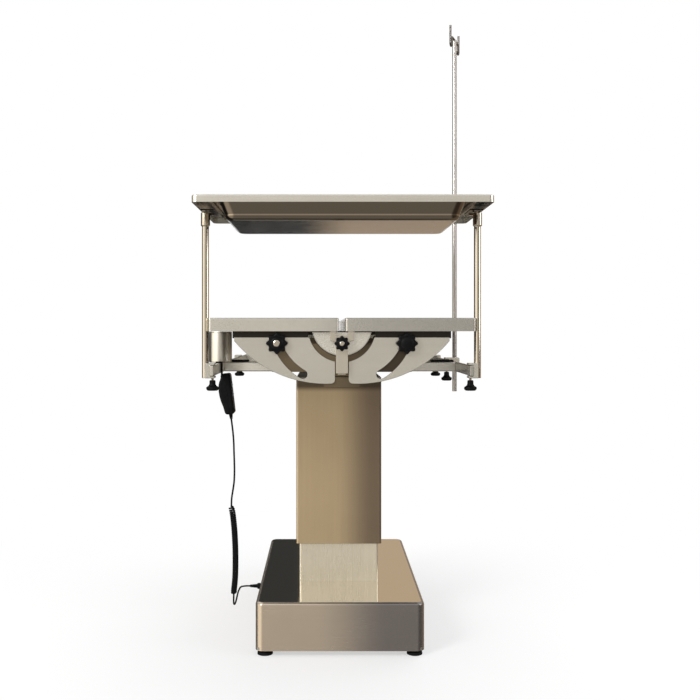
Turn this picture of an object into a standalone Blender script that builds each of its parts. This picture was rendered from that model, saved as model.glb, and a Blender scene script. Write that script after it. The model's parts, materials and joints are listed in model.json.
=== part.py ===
"""Veterinary surgery table: lifting column, V-top over a drain gutter, tray, IV pole and handset.

Lengths are in metres and +Z is up. Inside this file every place is given from the middle of the
column on the floor, with the end that carries the instrument tray towards -Y.
"""
import math

import bmesh
import bpy
from mathutils import Matrix, Vector

# Fits
CLEARANCE = 0.0003
WELD = 0.00001

# Base
BASE_WIDTH = 0.430
BASE_DEPTH = 0.740
BASE_HEIGHT = 0.122
BASE_EDGE = 0.008
COVER_SHEET = 0.002
FOOT_HEIGHT = 0.014
FOOT_RADIUS = 0.020
FOOT_NECK = 0.009
FOOT_INSET = 0.024
BASE_PLATE = 0.006
BASE_PLATE_RECESS = 0.002

# Lifting column
INNER_WIDTH = 0.218
INNER_DEPTH = 0.314
INNER_WALL = 0.004
INNER_LENGTH = 0.558
SLEEVE_GAP = 0.005
SLEEVE_WALL = 0.003
SLEEVE_LENGTH = 0.449
COLUMN_CORNER = 0.006
WEAR_RING = 0.022
TOP_PLATE = 0.008
LIFT_UP = 0.200
LIFT_DOWN = 0.100
ACTUATOR_RADIUS = 0.040
ACTUATOR_LENGTH = 0.450
ACTUATOR_ROD = 0.015
ACTUATOR_GRIP = 0.030
CONTROL_BOX = Vector((0.160, 0.120, 0.060))
CONTROL_BOX_WALL_GAP = 0.020
INLET = Vector((0.050, 0.006, 0.030))
INLET_SOCKET = Vector((0.026, 0.004, 0.018))
INLET_X = 0.100
INLET_Z = 0.070

# V-top
TABLE_HEIGHT = 0.855
TABLE_WIDTH = 0.600
TABLE_LENGTH = 1.300
PANEL_DEPTH = 0.030
PANEL_SHEET = 0.0015
PANEL_EDGE = 0.003
PANEL_GAP = 0.014
HINGE_INSET = 0.013
HINGE_DROP = 0.012
HINGE_ROD = 0.004
TILT_UP = math.radians(40)
NOTCH_LENGTH = 0.025

# Slotted quadrants and their locks
QUADRANT_SETBACK = 0.016
QUADRANT_SHEET = 0.004
QUADRANT_TIP = 0.243
QUADRANT_TIP_DROP = 0.052
QUADRANT_FOOT_DROP = 0.148
QUADRANT_NECK = 0.0155
QUADRANT_SWEEP = 0.270
QUADRANT_ROUND = 0.009
STIFFENER = 0.010
STIFFENER_DROP = 0.046
STIFFENER_END = 0.247
LUG_INSET = 0.0035
LOCK_RADIUS = 0.134
LOCK_ANGLE = math.radians(-19.7)
LOCK_STUD = 0.004
LOCK_BUSH = 0.0095
LOCK_ARM = 0.012
LOCK_PLATE = 0.006
LOCK_BAR_TOP_DROP = 0.093
LOCK_BAR = 0.029
SLOT_PLAY = 0.0005
STUD_BITE = 0.016

# End brackets
POST_BAR = 0.027
POST_BAR_THICK = 0.008
POST_SETBACK = 0.004
POST_HEAD_DROP = 0.040
POST_HEAD = 0.015
POST_HEAD_TAPER = 0.004
EAR = 0.013
POST_FOOT = Vector((0.060, 0.050, 0.008))
POST_WEB = 0.018

# Drain gutter
GUTTER_RADIUS = 0.068
GUTTER_DROP = 0.017
GUTTER_RIM_DROP = 0.0325
GUTTER_SHEET = 0.0015
GUTTER_ROOM = 0.008
GUTTER_ROOM_DROP = 0.007
GUTTER_STUD_DROP = 0.0575

# Star knobs
STAR_RADIUS = 0.0245
STAR_LOBES = 8
STAR_DEPTH = 0.015
STAR_CROWN = 0.006
STAR_CAP = 0.003
GUTTER_STAR_RADIUS = 0.0175

# Under-frame and side rails
RAIL_DROP = 0.109
RAIL_HEIGHT = 0.024
RAIL_WIDTH = 0.008
RAIL_REACH = 0.002
RAIL_END_SETBACK = 0.050
CROSSBAR_WIDTH = 0.024
CROSSBAR_Y = 0.345
BAR_WALL = 0.003
SPINE_WIDTH = 0.080
SPINE_HEIGHT = 0.024

# Rail clamps and their thumb knobs
CLAMP_JAW = 0.005
CLAMP_LIP = 0.002
CLAMP_LENGTH = 0.032
CLAMP_WALL = 0.004
THUMB_SCREW = 0.003
THUMB_DROP = 0.005
THUMB_NECK = 0.007
THUMB_NECK_LENGTH = 0.013
THUMB_HEAD = 0.0145
THUMB_HEAD_LENGTH = 0.011
CLEAT_Y = 0.114
CLEAT_WALL = 0.010
CLEAT_HORN = 0.070
CLEAT_HORN_RADIUS = 0.004
CLEAT_STEM = 0.006

# Overhead tray
POST_RADIUS = 0.008
POST_TABLE_SETBACK = 0.070
POST_COLLAR = 0.0105
POST_COLLAR_LENGTH = 0.030
TRAY_RISE = 0.244
TRAY_OVERHANG = 0.118
TRAY_DEPTH = 0.418
TRAY_EDGE = 0.007
TRAY_MEMBER = 0.033
TRAY_MEMBER_HEIGHT = 0.016
TRAY_CORNER = 0.012
BASIN_GAP = 0.020
BASIN_END_GAP = 0.006
BASIN_DEPTH = 0.049
BASIN_CORNER = 0.035
BASIN_DRAFT = 0.012
BASIN_FLANGE = 0.018
BASIN_SHEET = 0.0015

# IV pole
IV_Y = -0.150
IV_KNOB_GAP = 0.0015
IV_OUTER_WALL = 0.005
IV_RADIUS = 0.006
IV_BELOW_RAIL = 0.064
IV_LENGTH = 0.970
HOOK_RADIUS = 0.003
HOOK_HALF = 0.036
HOOK_BEND = 0.008
HOOK_RISE = 0.026
HOOK_TURN = math.radians(70)

# Handset, its holder and its cord
HANDSET = Vector((0.024, 0.044, 0.100))
HANDSET_EDGE = 0.006
HANDSET_TAPER = 0.96
HANDSET_SWELL = (
    (0.009, 0.0), (0.020, 0.0055), (0.034, 0.0088), (0.050, 0.0090), (0.066, 0.0068), (0.080, 0.0030),
)
HANDSET_Y = -0.440
HANDSET_TILT = math.radians(7)
HANDSET_GAP = 0.001
HANDSET_HOOK = 0.004
HANDSET_HOOK_ROOT = 0.013
HANDSET_HOOK_WIDTH = 0.014
HANDSET_HOOK_LIP = 0.014
BUTTON_RADIUS = 0.006
BUTTON_PROUD = 0.0015
BUTTON_TRAVEL = 0.0012
BUTTON_SEAT = 0.003
BUTTON_PLACES = (0.030, 0.052)
HOLDER_RADIUS = 0.029
HOLDER_SHEET = 0.0015
HOLDER_HEIGHT = 0.0775
HOLDER_Y = -0.385
HOLDER_OUT = 0.003
CORD = 0.0044
CURL_DIAMETER = 0.0154
CURL_PITCH = 0.0055
CURL_POINTS = 9
GLAND_Y = -0.165
GLAND_Z = 0.124
GLAND_FLANGE = 0.008
GLAND_LENGTH = 0.028

# Heights and faces that several pieces share
BASE_TOP = FOOT_HEIGHT + BASE_HEIGHT
BASE_PLATE_Z = FOOT_HEIGHT + BASE_PLATE_RECESS
FLOOR_PLATE_TOP = BASE_PLATE_Z + BASE_PLATE
PANEL_BOTTOM = TABLE_HEIGHT - PANEL_DEPTH
TABLE_END = TABLE_LENGTH / 2
HINGE_X = PANEL_GAP / 2 + HINGE_INSET
HINGE_Z = TABLE_HEIGHT - HINGE_DROP
RAIL_TOP = TABLE_HEIGHT - RAIL_DROP
RAIL_BOTTOM = RAIL_TOP - RAIL_HEIGHT
RAIL_OUTER = TABLE_WIDTH / 2 + RAIL_REACH
RAIL_INNER = RAIL_OUTER - RAIL_WIDTH
RAIL_X = RAIL_OUTER - RAIL_WIDTH / 2
RAIL_END = TABLE_END - RAIL_END_SETBACK
SPINE_TOP = RAIL_BOTTOM - CLEARANCE
SPINE_BOTTOM = SPINE_TOP - SPINE_HEIGHT
TOP_PLATE_TOP = SPINE_BOTTOM - CLEARANCE
SLEEVE_TOP = TOP_PLATE_TOP - TOP_PLATE - CLEARANCE
SLEEVE_BOTTOM = SLEEVE_TOP - SLEEVE_LENGTH
SLEEVE_WIDTH = INNER_WIDTH + 2 * (SLEEVE_GAP + SLEEVE_WALL)
SLEEVE_DEPTH = INNER_DEPTH + 2 * (SLEEVE_GAP + SLEEVE_WALL)
INNER_TOP = FLOOR_PLATE_TOP + CLEARANCE + INNER_LENGTH
QUADRANT_FRONT = TABLE_END - QUADRANT_SETBACK
QUADRANT_BACK = QUADRANT_FRONT - QUADRANT_SHEET
STUD_X = HINGE_X + LOCK_RADIUS * math.cos(LOCK_ANGLE)
STUD_Z = HINGE_Z + LOCK_RADIUS * math.sin(LOCK_ANGLE)
STAR_BACK = QUADRANT_FRONT + CLEARANCE
STAR_FRONT = STAR_BACK + STAR_DEPTH + STAR_CROWN
POST_FRONT = TABLE_END - POST_SETBACK
POST_BACK = POST_FRONT - POST_BAR_THICK
GUTTER_Z = TABLE_HEIGHT - GUTTER_DROP
GUTTER_RIM = TABLE_HEIGHT - GUTTER_RIM_DROP
GUTTER_END = POST_BACK - CLEARANCE
GUTTER_STUD_Z = TABLE_HEIGHT - GUTTER_STUD_DROP
CLAMP_TOP = RAIL_TOP + CLEARANCE + CLAMP_JAW
CLAMP_BOTTOM = RAIL_BOTTOM - CLEARANCE - CLAMP_JAW
POST_X = RAIL_OUTER + CLEARANCE + CLAMP_WALL + POST_RADIUS
POST_Y = -TABLE_END + POST_TABLE_SETBACK
TRAY_BOTTOM = TABLE_HEIGHT + TRAY_RISE
TRAY_TOP = TRAY_BOTTOM + TRAY_MEMBER_HEIGHT
TRAY_HALF = POST_X + TRAY_EDGE
TRAY_FRONT = -TABLE_END - TRAY_OVERHANG
IV_X = RAIL_X + THUMB_HEAD + IV_KNOB_GAP + IV_RADIUS
IV_BOTTOM = RAIL_BOTTOM - IV_BELOW_RAIL
REAR_REACH = max(TABLE_END, STAR_FRONT)
LEFT_REACH = RAIL_X + HOLDER_OUT + HOLDER_RADIUS
RIGHT_REACH = IV_X + math.cos(HOOK_TURN) * (HOOK_HALF + 2 * HOOK_BEND) + HOOK_RADIUS
COLUMN_X = (LEFT_REACH - RIGHT_REACH) / 2
COLUMN_Y = (TABLE_END + TRAY_OVERHANG - REAR_REACH) / 2

# The cord's free stretches, from the handset down to the curl and from the curl to the base
LEAD_ROUTE = (
    (-0.2685, -0.440, 0.6100), (-0.2666, -0.440, 0.595), (-0.2643, -0.440, 0.576),
    (-0.2625, -0.440, 0.553), (-0.2618, -0.440, 0.530), (-0.2610, -0.440, 0.505),
    (-0.2606, -0.440, 0.480), (-0.2615, -0.440, 0.455), (-0.2645, -0.440, 0.433),
    (-0.2672, -0.440, 0.416), (-0.2680, -0.440, 0.404),
)
CURL_ROUTE = (
    (-0.268, -0.440, 0.4000), (-0.2645, -0.437, 0.370), (-0.262, -0.422, 0.325),
    (-0.262, -0.400, 0.270), (-0.265, -0.374, 0.205), (-0.271, -0.350, 0.150),
)
TAIL_ROUTE = (
    (-0.2715, -0.3475, 0.1420), (-0.2720, -0.3430, 0.1320), (-0.2720, -0.3360, 0.1245),
    (-0.2710, -0.3260, 0.1205), (-0.2700, -0.3140, 0.1210), (-0.2690, -0.3000, 0.1245),
    (-0.2685, -0.2820, 0.1295), (-0.2680, -0.2620, 0.1335), (-0.2670, -0.2400, 0.1350),
    (-0.2660, -0.2200, 0.1345), (-0.2645, -0.2000, 0.1315), (-0.2620, -0.1840, 0.1280),
    (-0.2575, -0.1715, 0.1255),
)

# Finishes: colour, roughness and metallic value
BRUSHED_STEEL = ((0.62, 0.61, 0.58), 0.32, 1.0)
MIRROR_STEEL = ((0.66, 0.64, 0.60), 0.12, 1.0)
CAST_STEEL = ((0.45, 0.44, 0.42), 0.45, 1.0)
BLACK_PLASTIC = ((0.015, 0.015, 0.016), 0.45, 0.0)
BLACK_RUBBER = ((0.02, 0.02, 0.02), 0.75, 0.0)
WHITE_NYLON = ((0.80, 0.79, 0.75), 0.50, 0.0)
GREY_PAINT = ((0.35, 0.36, 0.37), 0.50, 0.0)


def clear_scene():
    for obj in list(bpy.data.objects):
        bpy.data.objects.remove(obj, do_unlink=True)


def new_collection(name):
    collection = bpy.data.collections.new(name)
    bpy.context.scene.collection.children.link(collection)
    return collection


clear_scene()
PARTS = new_collection("veterinary_surgery_table")
CUTTERS = new_collection("cutters")
BODIES = {}


def body(name, pivot=(0, 0, 0), parent=None):
    """An empty on a joint's axis that carries the pieces moving with it."""
    empty = bpy.data.objects.new(f"{name}_axis", None)
    PARTS.objects.link(empty)
    pivot = Vector(pivot)
    if parent is None:
        empty.location = pivot + Vector((COLUMN_X, COLUMN_Y, 0))
    else:
        empty.parent = BODIES[parent][0]
        empty.location = pivot - BODIES[parent][1]
    BODIES[name] = (empty, pivot)


def finish(obj, look):
    colour, roughness, metallic = look
    material = bpy.data.materials.new(f"{obj.name}_finish")
    material.use_nodes = True
    shader = material.node_tree.nodes["Principled BSDF"]
    shader.inputs["Base Color"].default_value = (*colour, 1)
    shader.inputs["Roughness"].default_value = roughness
    shader.inputs["Metallic"].default_value = metallic
    obj.data.materials.append(material)


def part(name, mesh, owner, look):
    """Make one named piece, its origin on the axis of the body that carries it."""
    empty, pivot = BODIES[owner]
    mesh.transform(Matrix.Translation(-pivot))
    mesh.name = name
    mesh.shade_smooth()
    mesh.set_sharp_from_angle(angle=math.radians(35))
    obj = bpy.data.objects.new(name, mesh)
    PARTS.objects.link(obj)
    obj.parent = empty
    finish(obj, look)
    return obj


def boolean(obj, mesh, operation):
    """Join a shape to a piece, or cut it away."""
    cutter = bpy.data.objects.new(f"{obj.name}_{operation.lower()}", mesh)
    CUTTERS.objects.link(cutter)
    cutter.parent = BODIES["base"][0]
    cutter.hide_render = True
    cutter.display_type = "WIRE"
    modifier = obj.modifiers.new(operation.title(), "BOOLEAN")
    modifier.operation = operation
    modifier.object = cutter


def cut(obj, mesh):
    boolean(obj, mesh, "DIFFERENCE")


def fuse(obj, mesh):
    boolean(obj, mesh, "UNION")


def bevel(obj, width, segments=2):
    modifier = obj.modifiers.new("Bevel", "BEVEL")
    modifier.width = width
    modifier.segments = segments
    modifier.limit_method = "ANGLE"
    modifier.angle_limit = math.radians(40)
    return modifier


def mesh_from(obj):
    """Turn an object into a plain welded mesh and remove the object."""
    bpy.context.view_layer.update()
    graph = bpy.context.evaluated_depsgraph_get()
    mesh = bpy.data.meshes.new_from_object(obj.evaluated_get(graph))
    shape = bmesh.new()
    shape.from_mesh(mesh)
    bmesh.ops.remove_doubles(shape, verts=shape.verts, dist=WELD)
    bmesh.ops.recalc_face_normals(shape, faces=shape.faces)
    shape.to_mesh(mesh)
    shape.free()
    bpy.data.objects.remove(obj)
    return mesh


def mesh_of(shape):
    mesh = bpy.data.meshes.new("shape")
    shape.to_mesh(mesh)
    shape.free()
    return mesh


def box(low, high):
    low = Vector(low)
    high = Vector(high)
    shape = bmesh.new()
    bmesh.ops.create_cube(shape, size=1)
    bmesh.ops.scale(shape, vec=high - low, verts=shape.verts)
    bmesh.ops.translate(shape, vec=(low + high) / 2, verts=shape.verts)
    return mesh_of(shape)


def cylinder(start, end, radius, sides=20):
    start = Vector(start)
    run = Vector(end) - start
    shape = bmesh.new()
    bmesh.ops.create_cone(
        shape, cap_ends=True, segments=sides, radius1=radius, radius2=radius, depth=run.length
    )
    turn = run.to_track_quat("Z", "Y").to_matrix().to_4x4()
    bmesh.ops.transform(shape, matrix=Matrix.Translation(start + run / 2) @ turn, verts=shape.verts)
    return mesh_of(shape)


def turned(profile, axis_start=(0, 0, 0), axis=(0, 0, 1), sides=20):
    """Spin a profile of (radius, height) points, listed from the top down its outside."""
    mesh = bpy.data.meshes.new("profile")
    points = [(radius, 0, height) for radius, height in profile]
    edges = [(i, i + 1) for i in range(len(points) - 1)]
    mesh.from_pydata(points, edges, [])
    obj = bpy.data.objects.new("profile", mesh)
    PARTS.objects.link(obj)
    screw = obj.modifiers.new("Screw", "SCREW")
    screw.steps = sides
    screw.render_steps = sides
    screw.use_merge_vertices = True
    screw.merge_threshold = WELD
    mesh = mesh_from(obj)
    turn = Vector(axis).to_track_quat("Z", "Y").to_matrix().to_4x4()
    mesh.transform(Matrix.Translation(Vector(axis_start)) @ turn)
    return mesh


FACING = {
    "X": Matrix(((0, 0, 1, 0), (1, 0, 0, 0), (0, 1, 0, 0), (0, 0, 0, 1))),
    "Y": Matrix(((1, 0, 0, 0), (0, 0, -1, 0), (0, 1, 0, 0), (0, 0, 0, 1))),
    "Z": Matrix.Identity(4),
}


def plate(outlines, facing, low, high):
    """Extrude an outline and its holes from low to high along an axis.

    Facing Z an outline holds (x, y) points, facing Y (x, z) points and facing X (y, z) points.
    """
    curve = bpy.data.curves.new("outline", "CURVE")
    curve.dimensions = "2D"
    curve.fill_mode = "BOTH"
    curve.extrude = (high - low) / 2
    for outline in outlines:
        spline = curve.splines.new("POLY")
        spline.points.add(len(outline) - 1)
        for point, (u, v) in zip(spline.points, outline):
            point.co = (u, v, 0, 1)
        spline.use_cyclic_u = True
    obj = bpy.data.objects.new("outline", curve)
    PARTS.objects.link(obj)
    mesh = mesh_from(obj)
    middle = (low + high) / 2
    offset = -middle if facing == "Y" else middle
    mesh.transform(FACING[facing] @ Matrix.Translation((0, 0, offset)))
    return mesh


def tube(points, radius, resolution):
    """A round tube along points, with closed ends."""
    curve = bpy.data.curves.new("tube", "CURVE")
    curve.dimensions = "3D"
    curve.bevel_depth = radius
    curve.bevel_resolution = resolution
    curve.use_fill_caps = True
    spline = curve.splines.new("POLY")
    spline.points.add(len(points) - 1)
    for point, place in zip(spline.points, points):
        point.co = (*place, 1)
    obj = bpy.data.objects.new("tube", curve)
    PARTS.objects.link(obj)
    return mesh_from(obj)


def arc(centre, radius, start, end, steps):
    """Points on an arc, angles in radians from +u towards +v."""
    angles = [start + (end - start) * i / steps for i in range(steps + 1)]
    return [(centre[0] + radius * math.cos(a), centre[1] + radius * math.sin(a)) for a in angles]


def circle(centre, radius, sides=20):
    return arc(centre, radius, 0, 2 * math.pi * (sides - 1) / sides, sides - 1)


def rounded_rectangle(half_u, half_v, radius, centre=(0, 0), steps=4):
    points = []
    corners = ((1, 1, 0), (-1, 1, 1), (-1, -1, 2), (1, -1, 3))
    for side_u, side_v, quarter in corners:
        middle = (centre[0] + side_u * (half_u - radius), centre[1] + side_v * (half_v - radius))
        start = quarter * math.pi / 2
        points += arc(middle, radius, start, start + math.pi / 2, steps)
    return points


def mirrored(points, side):
    """An outline drawn for the right-hand side, for either side."""
    return [(side * u, v) for u, v in points]


def smooth_route(points, spacing, first=None, last=None):
    """Places at even steps along a smooth curve through hand-placed points.

    The optional first and last directions say how the curve leaves its two ends.
    """
    points = [Vector(p) for p in points]
    slopes = [(points[i + 1] - points[i - 1]) / 2 for i in range(1, len(points) - 1)]
    start = points[1] - points[0]
    end = points[-1] - points[-2]
    if first is not None:
        start = Vector(first).normalized() * start.length
    if last is not None:
        end = Vector(last).normalized() * end.length
    slopes = [start] + slopes + [end]
    fine = 40
    dense = [points[0]]
    for i in range(len(points) - 1):
        for j in range(1, fine + 1):
            t = j / fine
            dense.append(
                (2 * t**3 - 3 * t**2 + 1) * points[i]
                + (t**3 - 2 * t**2 + t) * slopes[i]
                + (3 * t**2 - 2 * t**3) * points[i + 1]
                + (t**3 - t**2) * slopes[i + 1]
            )
    return even_steps(dense, spacing)


def even_steps(dense, spacing):
    travelled = [0.0]
    for a, b in zip(dense, dense[1:]):
        travelled.append(travelled[-1] + (b - a).length)
    count = max(2, round(travelled[-1] / spacing))
    result = []
    index = 0
    for step in range(count + 1):
        target = travelled[-1] * step / count
        while index < len(dense) - 2 and travelled[index + 1] < target:
            index += 1
        span = travelled[index + 1] - travelled[index]
        share = (target - travelled[index]) / span if span else 0
        result.append(dense[index].lerp(dense[index + 1], share))
    return result


def route_length(points):
    return sum((b - a).length for a, b in zip(points, points[1:]))


def make_bodies():
    body("base")
    body("lift", parent="base")
    for side, name in ((-1, "left"), (1, "right")):
        body(f"{name}_top", (side * HINGE_X, 0, HINGE_Z), "lift")
        body(f"{name}_front_knob", (side * STUD_X, -STAR_BACK, STUD_Z), "lift")
        body(f"{name}_rear_knob", (side * STUD_X, STAR_BACK, STUD_Z), "lift")
        body(f"{name}_cleat", (side * RAIL_X, CLEAT_Y, RAIL_BOTTOM), "lift")
        body(f"{name}_cleat_knob", (side * RAIL_X, CLEAT_Y, CLAMP_BOTTOM), f"{name}_cleat")
    body("gutter_knob", (0, -POST_FRONT - CLEARANCE, GUTTER_STUD_Z), "lift")
    body("tray_carriage", (0, POST_Y, RAIL_BOTTOM), "lift")
    for side, name in ((-1, "left"), (1, "right")):
        body(f"{name}_post_knob", (side * RAIL_X, POST_Y, CLAMP_BOTTOM), "tray_carriage")
    body("iv_carriage", (RAIL_X, IV_Y, RAIL_BOTTOM), "lift")
    body("iv_knob", (RAIL_X, IV_Y, CLAMP_BOTTOM), "iv_carriage")
    body("iv_mast", (IV_X, IV_Y, CLAMP_BOTTOM), "iv_carriage")
    for number, name in enumerate(("up", "down")):
        body(f"{name}_button", handset_face(BUTTON_PLACES[number], BUTTON_PROUD), "lift")


def make_base():
    """Sheet-metal cover over a thick plate on four levelling feet."""
    shape = bmesh.new()
    bmesh.ops.create_cube(shape, size=1)
    bottom = min(shape.faces, key=lambda f: f.calc_center_median().z)
    bmesh.ops.delete(shape, geom=[bottom], context="FACES_ONLY")
    bmesh.ops.scale(shape, vec=(BASE_WIDTH, BASE_DEPTH, BASE_HEIGHT), verts=shape.verts)
    bmesh.ops.translate(shape, vec=(0, 0, FOOT_HEIGHT + BASE_HEIGHT / 2), verts=shape.verts)
    cover = part("base_cover", mesh_of(shape), "base", BRUSHED_STEEL)
    bevel(cover, BASE_EDGE, 3)
    sheet(cover, COVER_SHEET)
    half_hole = Vector((INNER_WIDTH, INNER_DEPTH)) / 2 + Vector((CLEARANCE, CLEARANCE))
    hole = rounded_rectangle(half_hole.x, half_hole.y, COLUMN_CORNER + CLEARANCE)
    cut(cover, plate([hole], "Z", BASE_TOP - BASE_EDGE, BASE_TOP + BASE_EDGE))
    half_x = BASE_WIDTH / 2 - COVER_SHEET - CLEARANCE
    half_y = BASE_DEPTH / 2 - COVER_SHEET - CLEARANCE
    floor = rounded_rectangle(half_x, half_y, BASE_EDGE)
    part("base_plate", plate([floor], "Z", BASE_PLATE_Z, FLOOR_PLATE_TOP), "base", CAST_STEEL)
    neck_top = BASE_PLATE_Z - CLEARANCE
    pad_top = neck_top * 0.65
    profile = (
        (0, neck_top), (FOOT_NECK, neck_top), (FOOT_NECK, pad_top), (FOOT_RADIUS * 0.8, pad_top),
        (FOOT_RADIUS, pad_top * 0.75), (FOOT_RADIUS, 0), (0, 0),
    )
    for end, end_name in ((-1, "front"), (1, "rear")):
        for side, side_name in ((-1, "left"), (1, "right")):
            place = (side * (BASE_WIDTH / 2 - FOOT_INSET), end * (BASE_DEPTH / 2 - FOOT_INSET), 0)
            part(f"foot_{end_name}_{side_name}", turned(profile, place, sides=16), "base", BLACK_RUBBER)


def sheet(obj, thickness):
    modifier = obj.modifiers.new("Solidify", "SOLIDIFY")
    modifier.thickness = thickness
    modifier.offset = -1
    modifier.use_even_offset = True


def rectangular_ring(outer, inner, corner, low, high):
    wall = (outer[0] - inner[0]) / 2
    edges = [
        rounded_rectangle(outer[0] / 2, outer[1] / 2, corner),
        rounded_rectangle(inner[0] / 2, inner[1] / 2, max(corner - wall, corner / 3)),
    ]
    return plate(edges, "Z", low, high)


def make_column():
    """Fixed inner column, sliding sleeve, nylon rings between them and the actuator inside."""
    stand = FLOOR_PLATE_TOP + CLEARANCE
    inner = (INNER_WIDTH, INNER_DEPTH)
    inner_bore = (INNER_WIDTH - 2 * INNER_WALL, INNER_DEPTH - 2 * INNER_WALL)
    mesh = rectangular_ring(inner, inner_bore, COLUMN_CORNER, stand, INNER_TOP)
    part("inner_column", mesh, "base", MIRROR_STEEL)
    outer = (SLEEVE_WIDTH, SLEEVE_DEPTH)
    bore = (SLEEVE_WIDTH - 2 * SLEEVE_WALL, SLEEVE_DEPTH - 2 * SLEEVE_WALL)
    mesh = rectangular_ring(outer, bore, COLUMN_CORNER, SLEEVE_BOTTOM, SLEEVE_TOP)
    part("outer_sleeve", mesh, "lift", BRUSHED_STEEL)
    ring_outer = (bore[0] - 2 * CLEARANCE, bore[1] - 2 * CLEARANCE)
    ring_inner = (inner[0] + 2 * CLEARANCE, inner[1] + 2 * CLEARANCE)
    ring = rectangular_ring(
        ring_outer, ring_inner, COLUMN_CORNER, SLEEVE_BOTTOM, SLEEVE_BOTTOM + WEAR_RING
    )
    part("lower_wear_ring", ring, "lift", WHITE_NYLON)
    ring = rectangular_ring(
        ring_outer, ring_inner, COLUMN_CORNER, INNER_TOP - WEAR_RING, INNER_TOP
    )
    part("upper_wear_ring", ring, "base", WHITE_NYLON)
    outline = rounded_rectangle(SLEEVE_WIDTH / 2, SLEEVE_DEPTH / 2, COLUMN_CORNER)
    mesh = plate([outline], "Z", TOP_PLATE_TOP - TOP_PLATE, TOP_PLATE_TOP)
    part("column_top_plate", mesh, "lift", CAST_STEEL)
    housing_top = stand + ACTUATOR_LENGTH
    rod_end = housing_top - LIFT_UP - ACTUATOR_GRIP
    bore_end = rod_end - LIFT_DOWN - ACTUATOR_ROD
    bore_radius = ACTUATOR_ROD + CLEARANCE
    profile = (
        (0, bore_end), (bore_radius, bore_end), (bore_radius, housing_top),
        (ACTUATOR_RADIUS, housing_top), (ACTUATOR_RADIUS, stand), (0, stand),
    )
    part("lift_actuator", turned(profile), "base", GREY_PAINT)
    rod_top = TOP_PLATE_TOP - TOP_PLATE - CLEARANCE
    rod = cylinder((0, 0, rod_end), (0, 0, rod_top), ACTUATOR_ROD)
    part("actuator_rod", rod, "lift", MIRROR_STEEL)


def make_base_fittings():
    """Control box in the base, mains inlet at the back and the handset cord's gland."""
    front = -BASE_DEPTH / 2 + COVER_SHEET + CONTROL_BOX_WALL_GAP
    low = Vector((-CONTROL_BOX.x / 2, front, FLOOR_PLATE_TOP + CLEARANCE))
    part("control_box", box(low, low + CONTROL_BOX), "base", GREY_PAINT)
    wall = BASE_DEPTH / 2 + CLEARANCE
    low = Vector((INLET_X - INLET.x / 2, wall, INLET_Z - INLET.z / 2))
    inlet = part("mains_inlet", box(low, low + INLET), "base", BLACK_PLASTIC)
    half_x = INLET_SOCKET.x / 2
    half_z = INLET_SOCKET.z / 2
    face = wall + INLET.y
    low = (INLET_X - half_x, face - INLET_SOCKET.y, INLET_Z - half_z)
    cut(inlet, box(low, (INLET_X + half_x, face + INLET.y, INLET_Z + half_z)))
    profile = (
        (0, GLAND_LENGTH), (CORD * 0.8, GLAND_LENGTH), (CORD * 1.1, GLAND_LENGTH * 0.35),
        (GLAND_FLANGE, GLAND_LENGTH * 0.3), (GLAND_FLANGE, 0), (0, 0),
    )
    place = (-BASE_WIDTH / 2 - CLEARANCE, GLAND_Y, GLAND_Z)
    part("cord_gland", turned(profile, place, (-1, 0, 0), 16), "base", BLACK_RUBBER)


def make_underframe():
    """Spine beam on the column, two crossbars on the spine and a rail along each side."""
    spine_end = QUADRANT_BACK - CLEARANCE
    half = SPINE_WIDTH / 2
    middle = (SPINE_TOP + SPINE_BOTTOM) / 2
    edge = rounded_rectangle(half, SPINE_HEIGHT / 2, BAR_WALL, (0, middle))
    hollow = rounded_rectangle(half - BAR_WALL, SPINE_HEIGHT / 2 - BAR_WALL, BAR_WALL / 2, (0, middle))
    part("spine_beam", plate([edge, hollow], "Y", -spine_end, spine_end), "lift", BRUSHED_STEEL)
    rail_middle = (RAIL_TOP + RAIL_BOTTOM) / 2
    reach = RAIL_INNER - CLEARANCE
    for end, name in ((-1, "front_crossbar"), (1, "rear_crossbar")):
        centre = (end * CROSSBAR_Y, rail_middle)
        edge = rounded_rectangle(CROSSBAR_WIDTH / 2, RAIL_HEIGHT / 2, BAR_WALL, centre, 3)
        hollow = rounded_rectangle(
            CROSSBAR_WIDTH / 2 - BAR_WALL, RAIL_HEIGHT / 2 - BAR_WALL, BAR_WALL / 2, centre, 3
        )
        part(name, plate([edge, hollow], "X", -reach, reach), "lift", BRUSHED_STEEL)
    for side, name in ((-1, "left_rail"), (1, "right_rail")):
        edge = rounded_rectangle(
            RAIL_WIDTH / 2, RAIL_HEIGHT / 2, RAIL_WIDTH / 5, (side * RAIL_X, rail_middle), 2
        )
        part(name, plate([edge], "Y", -RAIL_END, RAIL_END), "lift", BRUSHED_STEEL)


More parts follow.
